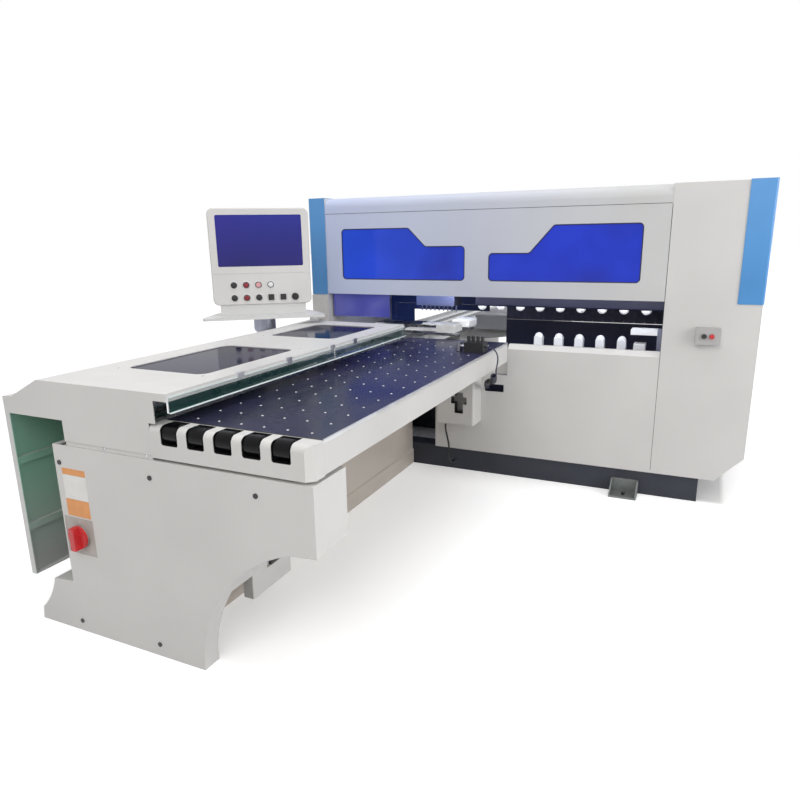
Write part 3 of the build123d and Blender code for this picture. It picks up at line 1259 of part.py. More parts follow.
save("valve_cable", valve_cable())
save("air_hose", air_hose())
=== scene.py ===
import math
from bisect import bisect_right

import bmesh
import bpy
from mathutils import Matrix, Vector


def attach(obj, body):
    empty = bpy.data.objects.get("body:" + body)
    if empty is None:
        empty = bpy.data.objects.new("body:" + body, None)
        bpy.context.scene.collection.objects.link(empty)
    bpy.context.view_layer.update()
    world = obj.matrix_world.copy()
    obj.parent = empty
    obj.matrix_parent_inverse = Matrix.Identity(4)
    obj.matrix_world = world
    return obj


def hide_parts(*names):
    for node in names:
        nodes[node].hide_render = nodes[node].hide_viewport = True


# Looks of a six-sided drilling machine, built round its CAD frame. In metres: X runs to the right
# along the gantry, Y to the rear and Z up from the floor.

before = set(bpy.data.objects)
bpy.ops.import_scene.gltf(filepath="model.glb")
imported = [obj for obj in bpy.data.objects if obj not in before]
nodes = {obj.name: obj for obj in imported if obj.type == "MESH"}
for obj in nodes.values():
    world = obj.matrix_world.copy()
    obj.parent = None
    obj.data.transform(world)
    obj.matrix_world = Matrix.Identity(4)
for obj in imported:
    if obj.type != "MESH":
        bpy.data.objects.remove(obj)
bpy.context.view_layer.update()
scene = bpy.context.scene

GANTRY_FRONT = -0.5
ARM_FRONT = -2.826          # face of the end panel
TABLE_TOP = 0.909


# Camera, solved from the edges in the photograph

CAMERA_PLACE = (1.085, -4.359, 1.497)
CAMERA_ANGLES = (25.0, 14.47, -0.82)        # yaw to the left, pitch down and roll, in degrees
CAMERA_LENS, CAMERA_SENSOR = 29.11, 36.0    # in mm
CAMERA_SHIFT = (-0.0008, 0.0081)


def add_camera():
    yaw, pitch, roll = (math.radians(angle) for angle in CAMERA_ANGLES)
    ahead = Vector((-math.sin(yaw) * math.cos(pitch), math.cos(yaw) * math.cos(pitch), -math.sin(pitch)))
    level = Vector((math.cos(yaw), math.sin(yaw), 0.0))
    above = level.cross(ahead)
    right = math.cos(roll) * level + math.sin(roll) * above
    up = right.cross(ahead)
    data = bpy.data.cameras.new("camera")
    data.sensor_width = CAMERA_SENSOR
    data.lens = CAMERA_LENS
    data.shift_x, data.shift_y = CAMERA_SHIFT
    data.clip_end = 200.0
    camera = bpy.data.objects.new("camera", data)
    scene.collection.objects.link(camera)
    turn = Matrix((right, up, -ahead)).transposed().to_4x4()
    camera.matrix_world = Matrix.Translation(CAMERA_PLACE) @ turn
    scene.camera = camera


add_camera()


# Node trees

class Nodes:
    """Helper around a node tree. A value is a number, a colour or another node's output."""

    def __init__(self, tree):
        self.tree = tree
        self.coords = self.node("ShaderNodeTexCoord")

    def node(self, kind, **settings):
        made = self.tree.nodes.new(kind)
        for key, value in settings.items():
            setattr(made, key, value)
        return made

    def feed(self, value, socket):
        if isinstance(value, tuple):
            socket.default_value = (*value, 1.0)
        elif isinstance(value, (int, float)):
            socket.default_value = value
        else:
            self.tree.links.new(value, socket)

    def math(self, operation, *values):
        made = self.node("ShaderNodeMath", operation=operation)
        for socket, value in zip(made.inputs, values):
            self.feed(value, socket)
        return made.outputs["Value"]

    def mix(self, factor, one, two, data_type="RGBA"):
        made = self.node("ShaderNodeMix", data_type=data_type)
        for socket, value in (("Factor", factor), ("A", one), ("B", two)):
            self.feed(value, made.inputs[socket])
        return made.outputs["Result"]

    def ramp(self, value, low, high, start=0.35, end=0.65):
        """Goes from low to high while the value goes from start to end, by default over noise's usual range."""
        made = self.node("ShaderNodeMapRange")
        self.feed(value, made.inputs["Value"])
        for socket, number in (("From Min", start), ("From Max", end), ("To Min", low), ("To Max", high)):
            made.inputs[socket].default_value = number
        return made.outputs["Result"]

    def axis(self, which, source="Object"):
        split = self.node("ShaderNodeSeparateXYZ")
        self.feed(self.coords.outputs[source], split.inputs["Vector"])
        return split.outputs[which]

    def above(self, which, start, end, source="Object"):
        """Mask that rises from 0 to 1 between two places on an axis."""
        return self.ramp(self.axis(which, source), 0.0, 1.0, start, end)

    def below(self, which, start, end, source="Object"):
        """Mask that falls from 1 to 0 between two places on an axis."""
        return self.ramp(self.axis(which, source), 1.0, 0.0, start, end)

    def all_of(self, *masks):
        total = masks[0]
        for mask in masks[1:]:
            total = self.math("MULTIPLY", total, mask)
        return total

    def sees_background(self):
        """1 for camera, glossy and transmission rays, which see the white background; 0 for others."""
        path = self.node("ShaderNodeLightPath").outputs
        total = self.math("MAXIMUM", path["Is Camera Ray"], path["Is Glossy Ray"])
        return self.math("MAXIMUM", total, path["Is Transmission Ray"])


class Shade(Nodes):
    """Helper around one material's tree, with its Principled shader."""

    def __init__(self, name):
        self.mat = bpy.data.materials.new(name)
        self.mat.use_nodes = True
        super().__init__(self.mat.node_tree)
        self.bsdf = self.tree.nodes["Principled BSDF"]

    def put(self, socket, value):
        self.feed(value, self.bsdf.inputs[socket])

    def noise(self, scale, detail=3.0, rough=0.5, stretch=None):
        made = self.node("ShaderNodeTexNoise")
        for socket, number in (("Scale", scale), ("Detail", detail), ("Roughness", rough)):
            made.inputs[socket].default_value = number
        source = self.coords.outputs["Object"]
        if stretch:
            mapping = self.node("ShaderNodeMapping")
            mapping.inputs["Scale"].default_value = stretch
            self.feed(source, mapping.inputs["Vector"])
            source = mapping.outputs["Vector"]
        self.feed(source, made.inputs["Vector"])
        return made.outputs["Fac"]

    def bump(self, height, distance, strength=1.0):
        made = self.node("ShaderNodeBump")
        made.inputs["Distance"].default_value = distance
        made.inputs["Strength"].default_value = strength
        self.feed(height, made.inputs["Height"])
        self.feed(made.outputs["Normal"], self.bsdf.inputs["Normal"])
        return made

    def recolour(self, mask, colour):
        """Lays a colour over the base colour as far as the mask says."""
        base = self.bsdf.inputs["Base Color"].links[0].from_socket
        self.put("Base Color", self.mix(mask, base, colour))


# Families of materials: each varies its colour and its gloss and has a bump

WHITE = (0.67, 0.66, 0.645)
# near black, painted shade for the inside of recesses and pockets
RECESS_PAINTED_SHADE = (0.010, 0.010, 0.011)
PEEL_DEPTH = 0.00006        # orange peel of powder coat
EDGE_ROUND = 0.0012         # radius that the light shows on a coated edge


def tints(colour, spread):
    """A darker and a lighter tint of a colour."""
    return tuple(c * (1 - spread) for c in colour), tuple(min(1.0, c * (1 + spread)) for c in colour)


def paint(name, colour, spread=0.03, rough=(0.32, 0.44)):
    """Powder coat: faint clouds and specks, orange peel and slightly rounded edges."""
    s = Shade(name)
    clouds = s.mix(s.ramp(s.noise(2.3, 4.0), 0.0, 1.0), *tints(colour, spread))
    specks = s.ramp(s.noise(180.0, 2.0), 0.0, 0.06, 0.62, 0.78)
    s.put("Base Color", s.mix(specks, clouds, tuple(c * 0.82 for c in colour)))
    s.put("Roughness", s.ramp(s.noise(9.0, 3.0), *rough))
    bump = s.bump(s.noise(420.0, 2.0), PEEL_DEPTH)
    bevel = s.node("ShaderNodeBevel", samples=2)
    bevel.inputs["Radius"].default_value = EDGE_ROUND
    s.feed(bevel.outputs["Normal"], bump.inputs["Normal"])
    return s


def metal(name, colour, rough=(0.22, 0.36), brush=(1.0, 1.0, 60.0), depth=0.00004, metallic=1.0):
    """Ground or anodised metal, with fine lines across the axis of the brush's largest scale."""
    s = Shade(name)
    lines = s.noise(30.0, 3.0, 0.6, brush)
    s.put("Base Color", s.mix(s.ramp(lines, 0.0, 1.0), *tints(colour, 0.07)))
    s.put("Roughness", s.ramp(s.noise(14.0, 3.0), *rough))
    s.put("Metallic", metallic)
    s.bump(lines, depth)
    return s.mat


def plastic(name, colour, rough=(0.35, 0.5), spread=0.08, grain=0.00005, scale=350.0, specular=0.5):
    """Moulded plastic or rubber with a fine grain."""
    s = Shade(name)
    s.put("Base Color", s.mix(s.ramp(s.noise(25.0, 3.0), 0.0, 1.0), *tints(colour, spread)))
    s.put("Roughness", s.ramp(s.noise(40.0, 2.0), *rough))
    s.put("Specular IOR Level", specular)
    s.bump(s.noise(scale, 2.0), grain)
    return s.mat


def pane(name, colour, rough=0.05, transmission=0.0, specular=0.5):
    """Tinted acrylic: cloudy tint, smear marks in the gloss and faint waves."""
    s = Shade(name)
    s.put("Base Color", s.mix(s.ramp(s.noise(3.2, 2.0), 0.0, 1.0), *tints(colour, 0.2)))
    s.put("Roughness", s.ramp(s.noise(16.0, 4.0, 0.6), rough, rough + 0.06))
    s.put("Transmission Weight", transmission)
    s.put("IOR", 1.49)
    s.put("Specular IOR Level", specular)
    s.bump(s.noise(1.7, 1.0), 0.0008, 0.25)
    return s


# Coats that change over a node, by place or by the way that a face looks

def painted_blue_light_coat():
    """White with a painted blue light that grows towards the gantry's left end."""
    s = paint("white_coat_painted_blue_light", (0.61, 0.61, 0.61))
    # painted blue light, strongest at the left end
    s.recolour(s.ramp(s.axis("X"), 0.9, 0.0, -1.25, 0.7), (0.55, 0.62, 0.86))
    return s.mat


def blue_coat_painted_sheen():
    """Blue corner covers, with a painted sheen that makes them a little lighter towards the top."""
    s = paint("blue_coat_painted_sheen", (0.075, 0.28, 0.62), 0.04, (0.28, 0.38))
    # painted sheen: lighter towards the top
    s.recolour(s.ramp(s.axis("Z"), 0.0, 0.45, 1.25, 1.76), (0.16, 0.40, 0.78))
    return s.mat


def skirt_coat():
    """White outside; a pale green inner face, greyer towards the floor."""
    s = paint("skirt_coat", (0.66, 0.66, 0.65))
    tone = s.mix(s.above("Z", 0.25, 0.62), (0.46, 0.49, 0.48), (0.30, 0.58, 0.45))
    s.recolour(s.above("X", 0.3, 0.8, "Normal"), tone)
    return s.mat


def press_bar_coat():
    """Nearly black coat with little gloss."""
    s = paint("press_bar_coat", (0.013, 0.014, 0.034), 0.15, (0.4, 0.55))
    s.put("Specular IOR Level", 0.2)
    return s.mat


def support_coat():
    """White posts, stop and shelf; the bar and wall that carry them are dark."""
    s = paint("support_coat", (0.19, 0.20, 0.28), 0.12)
    on_top = s.all_of(s.above("Z", 0.7925, 0.7935), s.below("X", 0.8615, 0.8625))
    s.recolour(on_top, (0.84, 0.85, 0.88))
    return s.mat


def valve_coat():
    """White box; the bottom and walls of its recess are black, painted shade."""
    s = paint("valve_coat", (0.70, 0.69, 0.67))
    recess = s.all_of(s.above("Y", -0.639, -0.634), s.below("Y", -0.585, -0.580),
                      s.above("X", -0.3005, -0.2995), s.below("X", -0.1945, -0.1935),
                      s.above("Z", 0.4310, 0.4315), s.below("Z", 0.5685, 0.5690))
    # painted shade inside the recess
    s.recolour(recess, RECESS_PAINTED_SHADE)
    return s.mat


def rear_table_coat():
    """White stand whose top face is the same dark laminate as the table in front."""
    s = paint("rear_table_coat", WHITE)
    s.recolour(s.above("Z", TABLE_TOP - 0.0015, TABLE_TOP - 0.0005), (0.026, 0.027, 0.068))
    return s.mat


def inner_wall_coat():
    """White outside, dark where it faces the drilling space, and there a painted blue light from the windows
    towards its left end.
    """
    s = paint("rear_wall_coat_painted_blue_light", WHITE)
    # the blue towards the left end is painted light from the windows
    inside = s.mix(s.below("X", -0.95, -0.35), (0.020, 0.023, 0.062), (0.060, 0.120, 0.42))
    s.recolour(s.below("Y", -0.7, -0.3, "Normal"), inside)
    return s.mat


def mast_coat():
    """Pale tray and neck; the round hub below the tray is bare metal."""
    s = paint("mast_coat", (0.66, 0.66, 0.655))
    hub = s.below("Z", 1.0535, 1.0545)
    s.recolour(hub, (0.34, 0.36, 0.44))
    s.put("Metallic", s.ramp(hub, 0.0, 0.6, 0.0, 1.0))
    return s.mat


def hood_coat():
    """White hood with a dark green inside."""
    s = paint("hood_coat", WHITE)
    s.recolour(s.below("Z", -0.6, -0.2, "Normal"), (0.06, 0.17, 0.12))
    return s.mat


def nose_coat():
    """White nose of the table; the walls of its roller pockets are black, painted shade."""
    pitch, first, half = 0.1115, -0.478, 0.036
    s = paint("nose_coat", WHITE)
    from_roller = s.math("WRAP", s.math("SUBTRACT", s.axis("X"), first), pitch / 2, -pitch / 2)
    in_window = s.ramp(s.math("ABSOLUTE", from_roller), 1.0, 0.0, half + 0.0002, half + 0.0008)
    pockets = s.all_of(in_window, s.above("Z", 0.8405, 0.8415),
                       s.above("X", -0.520, -0.519), s.below("X", 0.010, 0.011),
                       s.below("Y", -2.7590, -2.7570), s.above("Y", -2.8265, -2.8255))
    # painted shade on the walls of the roller pockets
    s.recolour(pockets, RECESS_PAINTED_SHADE)
    return s.mat


def float_coat():
    """Glossy dark laminate, greyer near the rollers, with clouds and fine specks."""
    s = Shade("float_laminate")
    base = s.mix(s.above("Y", -2.7, -1.5), (0.022, 0.024, 0.038), (0.017, 0.018, 0.060))
    clouds = s.mix(s.ramp(s.noise(1.3, 2.0), 0.0, 1.0), base, (0.036, 0.037, 0.082))
    specks = s.ramp(s.noise(300.0, 2.0), 0.0, 0.25, 0.62, 0.8)
    s.put("Base Color", s.mix(specks, clouds, (0.07, 0.07, 0.12)))
    s.put("Specular IOR Level", 0.11)
    s.put("Roughness", s.ramp(s.noise(2.6, 3.0), 0.20, 0.32))
    s.bump(s.noise(500.0, 2.0), 0.00002)
    return s.mat


def screen_glass():
    """Screen that is on, behind glass: blue-black with soft clouds."""
    s = Shade("screen_glass")
    base = s.mix(s.above("Z", 1.34, 1.66), (0.010, 0.010, 0.115), (0.022, 0.028, 0.30))
    clouds = s.ramp(s.noise(2.4, 1.0), 0.0, 0.35)
    s.put("Base Color", (0.006, 0.007, 0.016))
    s.put("Emission Color", s.mix(clouds, base, (0.030, 0.012, 0.24)))
    s.put("Emission Strength", 0.9)
    s.put("Roughness", s.ramp(s.noise(22.0, 3.0), 0.05, 0.10))
    s.put("Specular IOR Level", 0.25)
    s.bump(s.noise(600.0, 2.0), 0.00001)
    return s.mat


def window_pane_painted_glow():
    """Blue acrylic with a painted glow, brighter and greener to the left; the dim machine behind it is painted
    as soft dark patches in the glow.
    """
    s = pane("blue_pane", (0.010, 0.030, 0.32), specular=0.22)
    tone = s.mix(s.below("X", -1.15, 0.1), (0.008, 0.018, 0.34), (0.016, 0.062, 0.48))
    patches = s.ramp(s.noise(3.1, 1.0, 0.4, (1.0, 1.0, 0.6)), 0.0, 0.55, 0.50, 0.60)
    # painted glow of the pane, with painted dark patches for the shade behind it
    s.put("Emission Color", s.mix(patches, tone, (0.008, 0.010, 0.17)))
    s.put("Emission Strength", 0.72)
    return s.mat


def guard_pane():
    """Clear acrylic, greenish, with polished pale edges at its top and bottom."""
    inner, polished = (0.05, 0.22, 0.21), (0.72, 0.80, 0.80)
    s = pane("clear_pane", inner, 0.08, specular=0.2)
    edge = s.math("MAXIMUM", s.above("Z", 1.0035, 1.0045), s.below("Z", 0.9565, 0.9575))
    s.put("Base Color", s.mix(edge, inner, polished))
    s.put("Alpha", s.ramp(edge, 0.07, 0.90, 0.0, 1.0))
    return s.mat


def strip_pane_painted_glow():
    """Clear violet strips with the light of the windows painted on them as a glow."""
    s = pane("violet_strip_painted_glow", (0.10, 0.10, 0.42), 0.12, 0.3)
    spots = s.ramp(s.noise(5.0, 2.0), 0.75, 1.15)
    # painted glow standing in for the windows' light
    s.put("Emission Color", s.mix(spots, (0.056, 0.072, 0.336), (0.07, 0.09, 0.42)))
    s.put("Emission Strength", 0.23)
    return s.mat


white = paint("white_coat", WHITE).mat
warm = paint("warm_white_coat", (0.60, 0.54, 0.48), 0.05).mat
dark = paint("dark_coat", (0.020, 0.023, 0.036), 0.18, (0.45, 0.6)).mat
grey = paint("grey_coat", (0.46, 0.45, 0.45), 0.06, (0.4, 0.5)).mat
inner_dark = paint("inner_coat", (0.055, 0.06, 0.115), 0.2, (0.35, 0.5)).mat
white_painted_blue_light = painted_blue_light_coat()
rear_wall = inner_wall_coat()

steel = metal("ground_steel", (0.52, 0.53, 0.55))
alu = metal("anodised_aluminium", (0.72, 0.73, 0.75), (0.3, 0.42), (60.0, 1.0, 60.0))
head_metal = metal("head_metal", (0.15, 0.16, 0.24), (0.35, 0.5), (1.0, 1.0, 30.0), metallic=0.7)
galvanised = metal("galvanised", (0.20, 0.215, 0.21), (0.42, 0.6), (3.0, 3.0, 3.0), 0.0001, 0.6)

black = plastic("black_plastic", (0.016, 0.016, 0.018))
white_plastic = plastic("white_plastic", (0.82, 0.82, 0.82), (0.3, 0.4))
red = plastic("red_plastic", (0.60, 0.03, 0.035), (0.25, 0.35))
dark_red = plastic("dark_red_plastic", (0.25, 0.02, 0.03), (0.25, 0.35))
pink = plastic("pink_ring", (0.72, 0.36, 0.38), (0.3, 0.4))
switch_grey = plastic("switch_grey", (0.46, 0.43, 0.40), (0.4, 0.5))
orange = plastic("orange_field", (0.78, 0.33, 0.10), (0.35, 0.45), 0.05)
pale = plastic("pale_field", (0.82, 0.82, 0.80), (0.35, 0.45), 0.03)
rubber = plastic("black_rubber", (0.010, 0.010, 0.011), (0.42, 0.6), 0.25, 0.00015, 120.0)
roller_rubber = plastic("roller_rubber", (0.004, 0.004, 0.005), (0.16, 0.26), 0.25, 0.00006, 160.0, 0.14)
strip_rubber = plastic("strip_rubber", (0.060, 0.064, 0.115), (0.4, 0.55), 0.2, 0.0001, 90.0)
# the seal's dark colour also stands in for painted shade at the panes' recess edges
seal_and_painted_edge_shade = plastic("seal_and_painted_edge_shade", (0.006, 0.008, 0.055), (0.4, 0.5))
hose_skin = plastic("hose_skin", (0.018, 0.022, 0.05), (0.18, 0.28))

LOOKS = {
    # Gantry
    "plinth": dark, "anchor_brackets": galvanised, "left_cabinet": white, "right_cabinet": white,
    "corner_panels": blue_coat_painted_sheen(), "roof_cover": white_painted_blue_light, "hatch": white_painted_blue_light,
    "hatch_windows": window_pane_painted_glow(), "lower_front_panel": white, "rear_panel": rear_wall,
    "rear_curtain": strip_rubber, "rear_table": rear_table_coat(), "button_box": grey,
    "start_button": black, "stop_button": red,
    # Throat
    "crossbeams": inner_dark, "upper_carriage": head_metal, "lower_carriage": head_metal,
    "upper_head": head_metal, "lower_head": head_metal, "press_beam": press_bar_coat(),
    "press_pads": white_plastic, "bed_supports": support_coat(), "throat_curtain": strip_pane_painted_glow(),
    # Feed arm
    "feed_bed": warm, "feed_beam": steel, "table_frame": white, "float_plate": float_coat(),
    "edge_trim": alu, "roller_housing": nose_coat(), "end_panel": white, "hole_plugs": black,
    "switch_base": switch_grey, "switch_knob": red, "service_box": white, "feed_cover": hood_coat(),
    "cover_windows": pane("smoke_pane", (0.013, 0.014, 0.046), specular=0.03).mat,
    "cover_guard": guard_pane(), "side_skirt": skirt_coat(), "valve_box": valve_coat(),
    "valve_cable": rubber, "air_hose": hose_skin,
    # On the table
    "front_gripper": steel, "front_gripper_jaw": white_plastic, "rear_gripper": steel,
    "rear_gripper_jaw": white_plastic, "pusher_body": black, "pusher_rod": steel,
    # Console
    "console_bracket": white, "console_arm": white, "console_post": mast_coat(),
    "console_housing": white, "console_screen": screen_glass(), "console_buttons": black,
    "console_selector": black,
}
for number in range(1, 6):
    LOOKS[f"front_roller_{number}"] = roller_rubber
for name, mat in LOOKS.items():
    for material_slot in nodes[name].material_slots:
        material_slot.material = mat


# Small mesh pieces

SHARP_ANGLE = math.radians(40)
TO_FRONT = Matrix.Rotation(math.radians(90), 3, "X")        # turns +Z to -Y


def lathe(bm, profile, place, steps, turn=None):
    """Revolves (radius, height) points about Z at a place, turned by an optional matrix."""
    rings = []
    for radius, height in profile:
        ring = []
        for k in range(steps):
            angle = 2 * math.pi * k / steps
            point = Vector((radius * math.cos(angle), radius * math.sin(angle), height))
            if turn is not None:
                point = turn @ point
            ring.append(bm.verts.new(Vector(place) + point))
        rings.append(ring)
    for low, high in zip(rings, rings[1:]):
        for k in range(steps):
            bm.faces.new((low[k], low[(k + 1) % steps], high[(k + 1) % steps], high[k]))
    bm.faces.new(list(reversed(rings[0])))
    bm.faces.new(rings[-1])


def slab(bm, x, y, z, bevel=0.0):
    """A box over ranges of X, Y and Z, with its edges bevelled."""
    made = bmesh.ops.create_cube(bm, size=1.0)
    size = Vector((x[1] - x[0], y[1] - y[0], z[1] - z[0]))
    middle = Vector(((x[0] + x[1]) / 2, (y[0] + y[1]) / 2, (z[0] + z[1]) / 2))
    for v in made["verts"]:
        v.co = Vector((v.co.x * size.x, v.co.y * size.y, v.co.z * size.z)) + middle
    if bevel:
        edges = {e for v in made["verts"] for e in v.link_edges}
        bmesh.ops.bevel(bm, geom=list(edges), offset=bevel, segments=2, affect="EDGES")


def finish(bm, name, mat, body="machine"):
    """Makes a piece of a bmesh: smooth faces, sharp at steep edges, riding on a body."""
    bmesh.ops.recalc_face_normals(bm, faces=bm.faces)
    mesh = bpy.data.meshes.new(name)
    bm.to_mesh(mesh)
    bm.free()
    for face in mesh.polygons:
        face.use_smooth = True
    mesh.set_sharp_from_angle(angle=SHARP_ANGLE)
    made = bpy.data.objects.new(name, mesh)
    scene.collection.objects.link(made)
    made.data.materials.append(mat)
    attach(made, body)


def sheets(name, places, mat, bevel=0.0):
    """A piece of thin sheets or blocks, each given by its ranges of X, Y and Z."""
    bm = bmesh.new()
    for x, y, z in places:
        slab(bm, x, y, z, bevel)
    finish(bm, name, mat)


def float_nozzles():
    """Air nozzles of the float table, low rings with a hole, none of them under the side pusher."""
    rows, columns = 17, 6
    first_x, first_y = -0.458, -2.704
    pitch_x, pitch_y = 0.0924, 0.1157
    profile = [(0.0042, 0.0), (0.0040, 0.0009), (0.0032, 0.0013), (0.0015, 0.0010), (0.0012, 0.0003)]
    bm = bmesh.new()
    for row in range(rows):
        for column in range(columns):
            x = first_x + column * pitch_x
            y = first_y + row * pitch_y
            under_pusher = -1.14 < y < -1.03 and x > -0.12
            if not under_pusher:
                lathe(bm, profile, (x, y, TABLE_TOP), 12)
    finish(bm, "float_nozzles", white_plastic)


def screws(name, places, radius, turn=None):
    """Domed screw heads with a socket, at a list of places."""
    profile = [(radius, 0.0), (radius, 0.0012), (radius * 0.72, 0.0028), (radius * 0.45, 0.0031),
               (radius * 0.42, 0.0012)]
    bm = bmesh.new()
    for place in places:
        lathe(bm, profile, place, 16, turn)
    finish(bm, name, steel)


def hood_screws():
    """Two screws in the hood's front and one beside each corner of its two windows."""
    hood_top = 1.020
    beside = 0.018
    screws("hood_front_screws", [(x, ARM_FRONT + 0.004, 0.7925) for x in (-0.793, -0.594)], 0.0055, TO_FRONT)
    corners = []
    for y0, y1 in ((-2.530, -1.922), (-1.585, -1.092)):
        for x in (-0.968 - beside, -0.578 + beside):
            corners += [(x, y0 - beside, hood_top), (x, y1 + beside, hood_top)]
    screws("sight_screws", corners, 0.005)


def guard_clips():
    """Aluminium clips that hold the clear guard to the hood, and its end cap."""
    bm = bmesh.new()
    for y in (-2.443, -2.122, -1.765, -1.550):
        slab(bm, (-0.4825, -0.4690), (y - 0.020, y + 0.020), (0.9975, 1.0235), 0.0015)
    slab(bm, (-0.4760, -0.4690), (-2.8235, -2.8190), (0.955, 1.008), 0.0008)
    finish(bm, "guard_clips", alu)


def sticker():
    """Plain colour fields of the sticker on the end panel."""
    x, y = (-1.028, -0.908), (ARM_FRONT - 0.0006, ARM_FRONT - 0.0001)
    for name, z, mat in (("sticker_top", (0.668, 0.693), orange), ("sticker_middle", (0.572, 0.667), pale),
                         ("sticker_low", (0.503, 0.571), orange)):
        sheets(name, [(x, y, z)], mat, 0.0002)


def console_caps():
    """Coloured caps and aluminium rings on seven of the console's buttons."""
    place = Vector((-1.358, -1.085, 0.0))
    facing = Matrix.Rotation(math.radians(37.7), 3, "Z")
    ring_y, cap_y = -0.039, -0.048          # backs of the rings, on the panel's face, and of the caps
    first, pitch = -0.168, 0.072
    rows = ((1.246, ("black", "red", "pink", "white")), (1.170, ("black", "red", "black")))
    cap = [(0.0145, 0.0), (0.0148, 0.002), (0.0140, 0.0042), (0.0118, 0.0050)]
    ring = [(0.0215, 0.0), (0.0215, 0.0015), (0.0198, 0.0032), (0.0192, 0.0032)]
    mats = {"black": black, "red": dark_red, "pink": pink, "white": white_plastic}
    caps = {colour: bmesh.new() for colour in mats}
    rings = bmesh.new()
    for z, colours in rows:
        for i, colour in enumerate(colours):
            for bm, profile, y, steps in ((caps[colour], cap, cap_y, 28), (rings, ring, ring_y, 32)):
                at = place + facing @ Vector((first + i * pitch, y, 0.0)) + Vector((0, 0, z))
                lathe(bm, profile, at, steps, facing @ TO_FRONT)
    for colour, bm in caps.items():
        finish(bm, f"console_caps_{colour}", mats[colour], "console")
    finish(rings, "console_button_rings", alu, "console")


def rear_closing():
    """Sheets and rubber strips that close the rear wall round the bed's mouth and below the curtain."""
    wall = (0.4965, 0.4995)
    sheets("rear_wall_wing", [((-1.208, -1.040), wall, (0.165, 0.9965))], rear_wall, 0.0004)
    sheets("rear_wall_header", [((-1.040, -0.406), wall, (0.9495, 0.9965))], rear_wall, 0.0004)
    first, pitch, width = -0.2680, 0.071, 0.0704
    strips = [((first + i * pitch, first + i * pitch + width), (0.4900, 0.4918), (0.8985, 0.9885))
              for i in range(16)]
    sheets("second_strips", strips, strip_rubber, 0.0003)


def linings():
    """Folded edge at the hose notch, shadow lines of the joints, a black slab of painted shade in the cable
    box's hole and dark pads of painted shade in the anchor slots.
    """
    sheets("notch_lining", [((-0.072, 0.022), (-0.4655, -0.4635), (0.6685, 0.828))], white,
           0.0004)
    seam = (GANTRY_FRONT - 0.0002, GANTRY_FRONT + 0.0006)
    sheets("seam_shadows", [((-1.246, 0.892), seam, (1.6645, 1.6672)),
                            ((0.8932, 0.8955), seam, (0.167, 1.6600)),
                            ((-0.545, 0.075), (-2.7545, -2.7512), (0.9070, 0.9096))], rubber)
    # black slab: painted shade inside the cable box's hole
    sheets("cable_box_hole_painted_shade", [((-0.4340, -0.4225), (-2.405, -2.345), (0.2135, 0.2605))], black,
           0.002)
    # dark pads: painted shade on the floor seen through the anchor slots
    sheets("anchor_slot_painted_shade", [((x - 0.020, x + 0.020), (y - 0.048, y + 0.036), (0.0004, 0.0018))
                           for x, y in ((0.757, -0.5333), (0.757, 0.5333), (-0.480, 0.5333))],
           rubber)


def rounded_loop(corners, radius, inset, steps=6):
    """Points of a rounded outline in X and Z, drawn inset from its edge; corners run anticlockwise."""
    loop = []
    for i, corner in enumerate(corners):
        corner = Vector(corner)
        back = (Vector(corners[i - 1]) - corner).normalized()
        ahead = (Vector(corners[(i + 1) % len(corners)]) - corner).normalized()
        half = back.angle(ahead) / 2
        centre = corner + (back + ahead).normalized() * (radius / math.sin(half))
        convex = back.x * ahead.y - back.y * ahead.x < 0
        r = radius - inset if convex else radius + inset
        start = corner + back * (radius / math.tan(half)) - centre
        end = corner + ahead * (radius / math.tan(half)) - centre
        first = math.atan2(start.y, start.x)
        turn = math.atan2(start.x * end.y - start.y * end.x, start.dot(end))
        for k in range(steps + 1):
            angle = first + turn * k / steps
            loop.append((centre.x + r * math.cos(angle), centre.y + r * math.sin(angle)))
    return loop


def window_seals_and_edge_shade():
    """Dark rubber seal round each pane of the hatch; its dark colour also paints the shade at the edge of the
    pane's recess.
    """
    low, top, radius = 1.243, 1.569, 0.026
    left = [(-1.130, low), (-0.267, low), (-0.267, 1.455), (-0.529, 1.455), (-0.645, top), (-1.130, top)]
    right = [(-0.117, low), (0.759, low), (0.759, top), (0.271, top), (0.131, 1.411), (-0.117, 1.411)]
    bm = bmesh.new()
    for corners in (left, right):
        outer = rounded_loop(corners, radius, 0.0004)
        inner = rounded_loop(corners, radius, 0.0065)
        rings = []
        for loop, depth in ((outer, 0.0012), (inner, 0.0020), (inner, 0.0040), (outer, 0.0040)):
            rings.append([bm.verts.new((x, GANTRY_FRONT + depth, z)) for x, z in loop])
        count = len(outer)
        for a, b in zip(rings, rings[1:] + rings[:1]):
            for k in range(count):
                bm.faces.new((a[k], a[(k + 1) % count], b[(k + 1) % count], b[k]))
    finish(bm, "window_seals_and_edge_shade", seal_and_painted_edge_shade, "hatch")


def guard_joint():
    """Pale joint strip between the two guard panes."""
    sheets("guard_joint", [((-0.4626, -0.4612), (-1.767, -1.763), (0.954, 1.007))], white_plastic,
           0.0004)


float_nozzles()
hood_screws()
guard_clips()
sticker()
console_caps()
rear_closing()
linings()
window_seals_and_edge_shade()
guard_joint()


# Cords. The hose runs from the pusher into its coil, which starts at HOSE's last point.

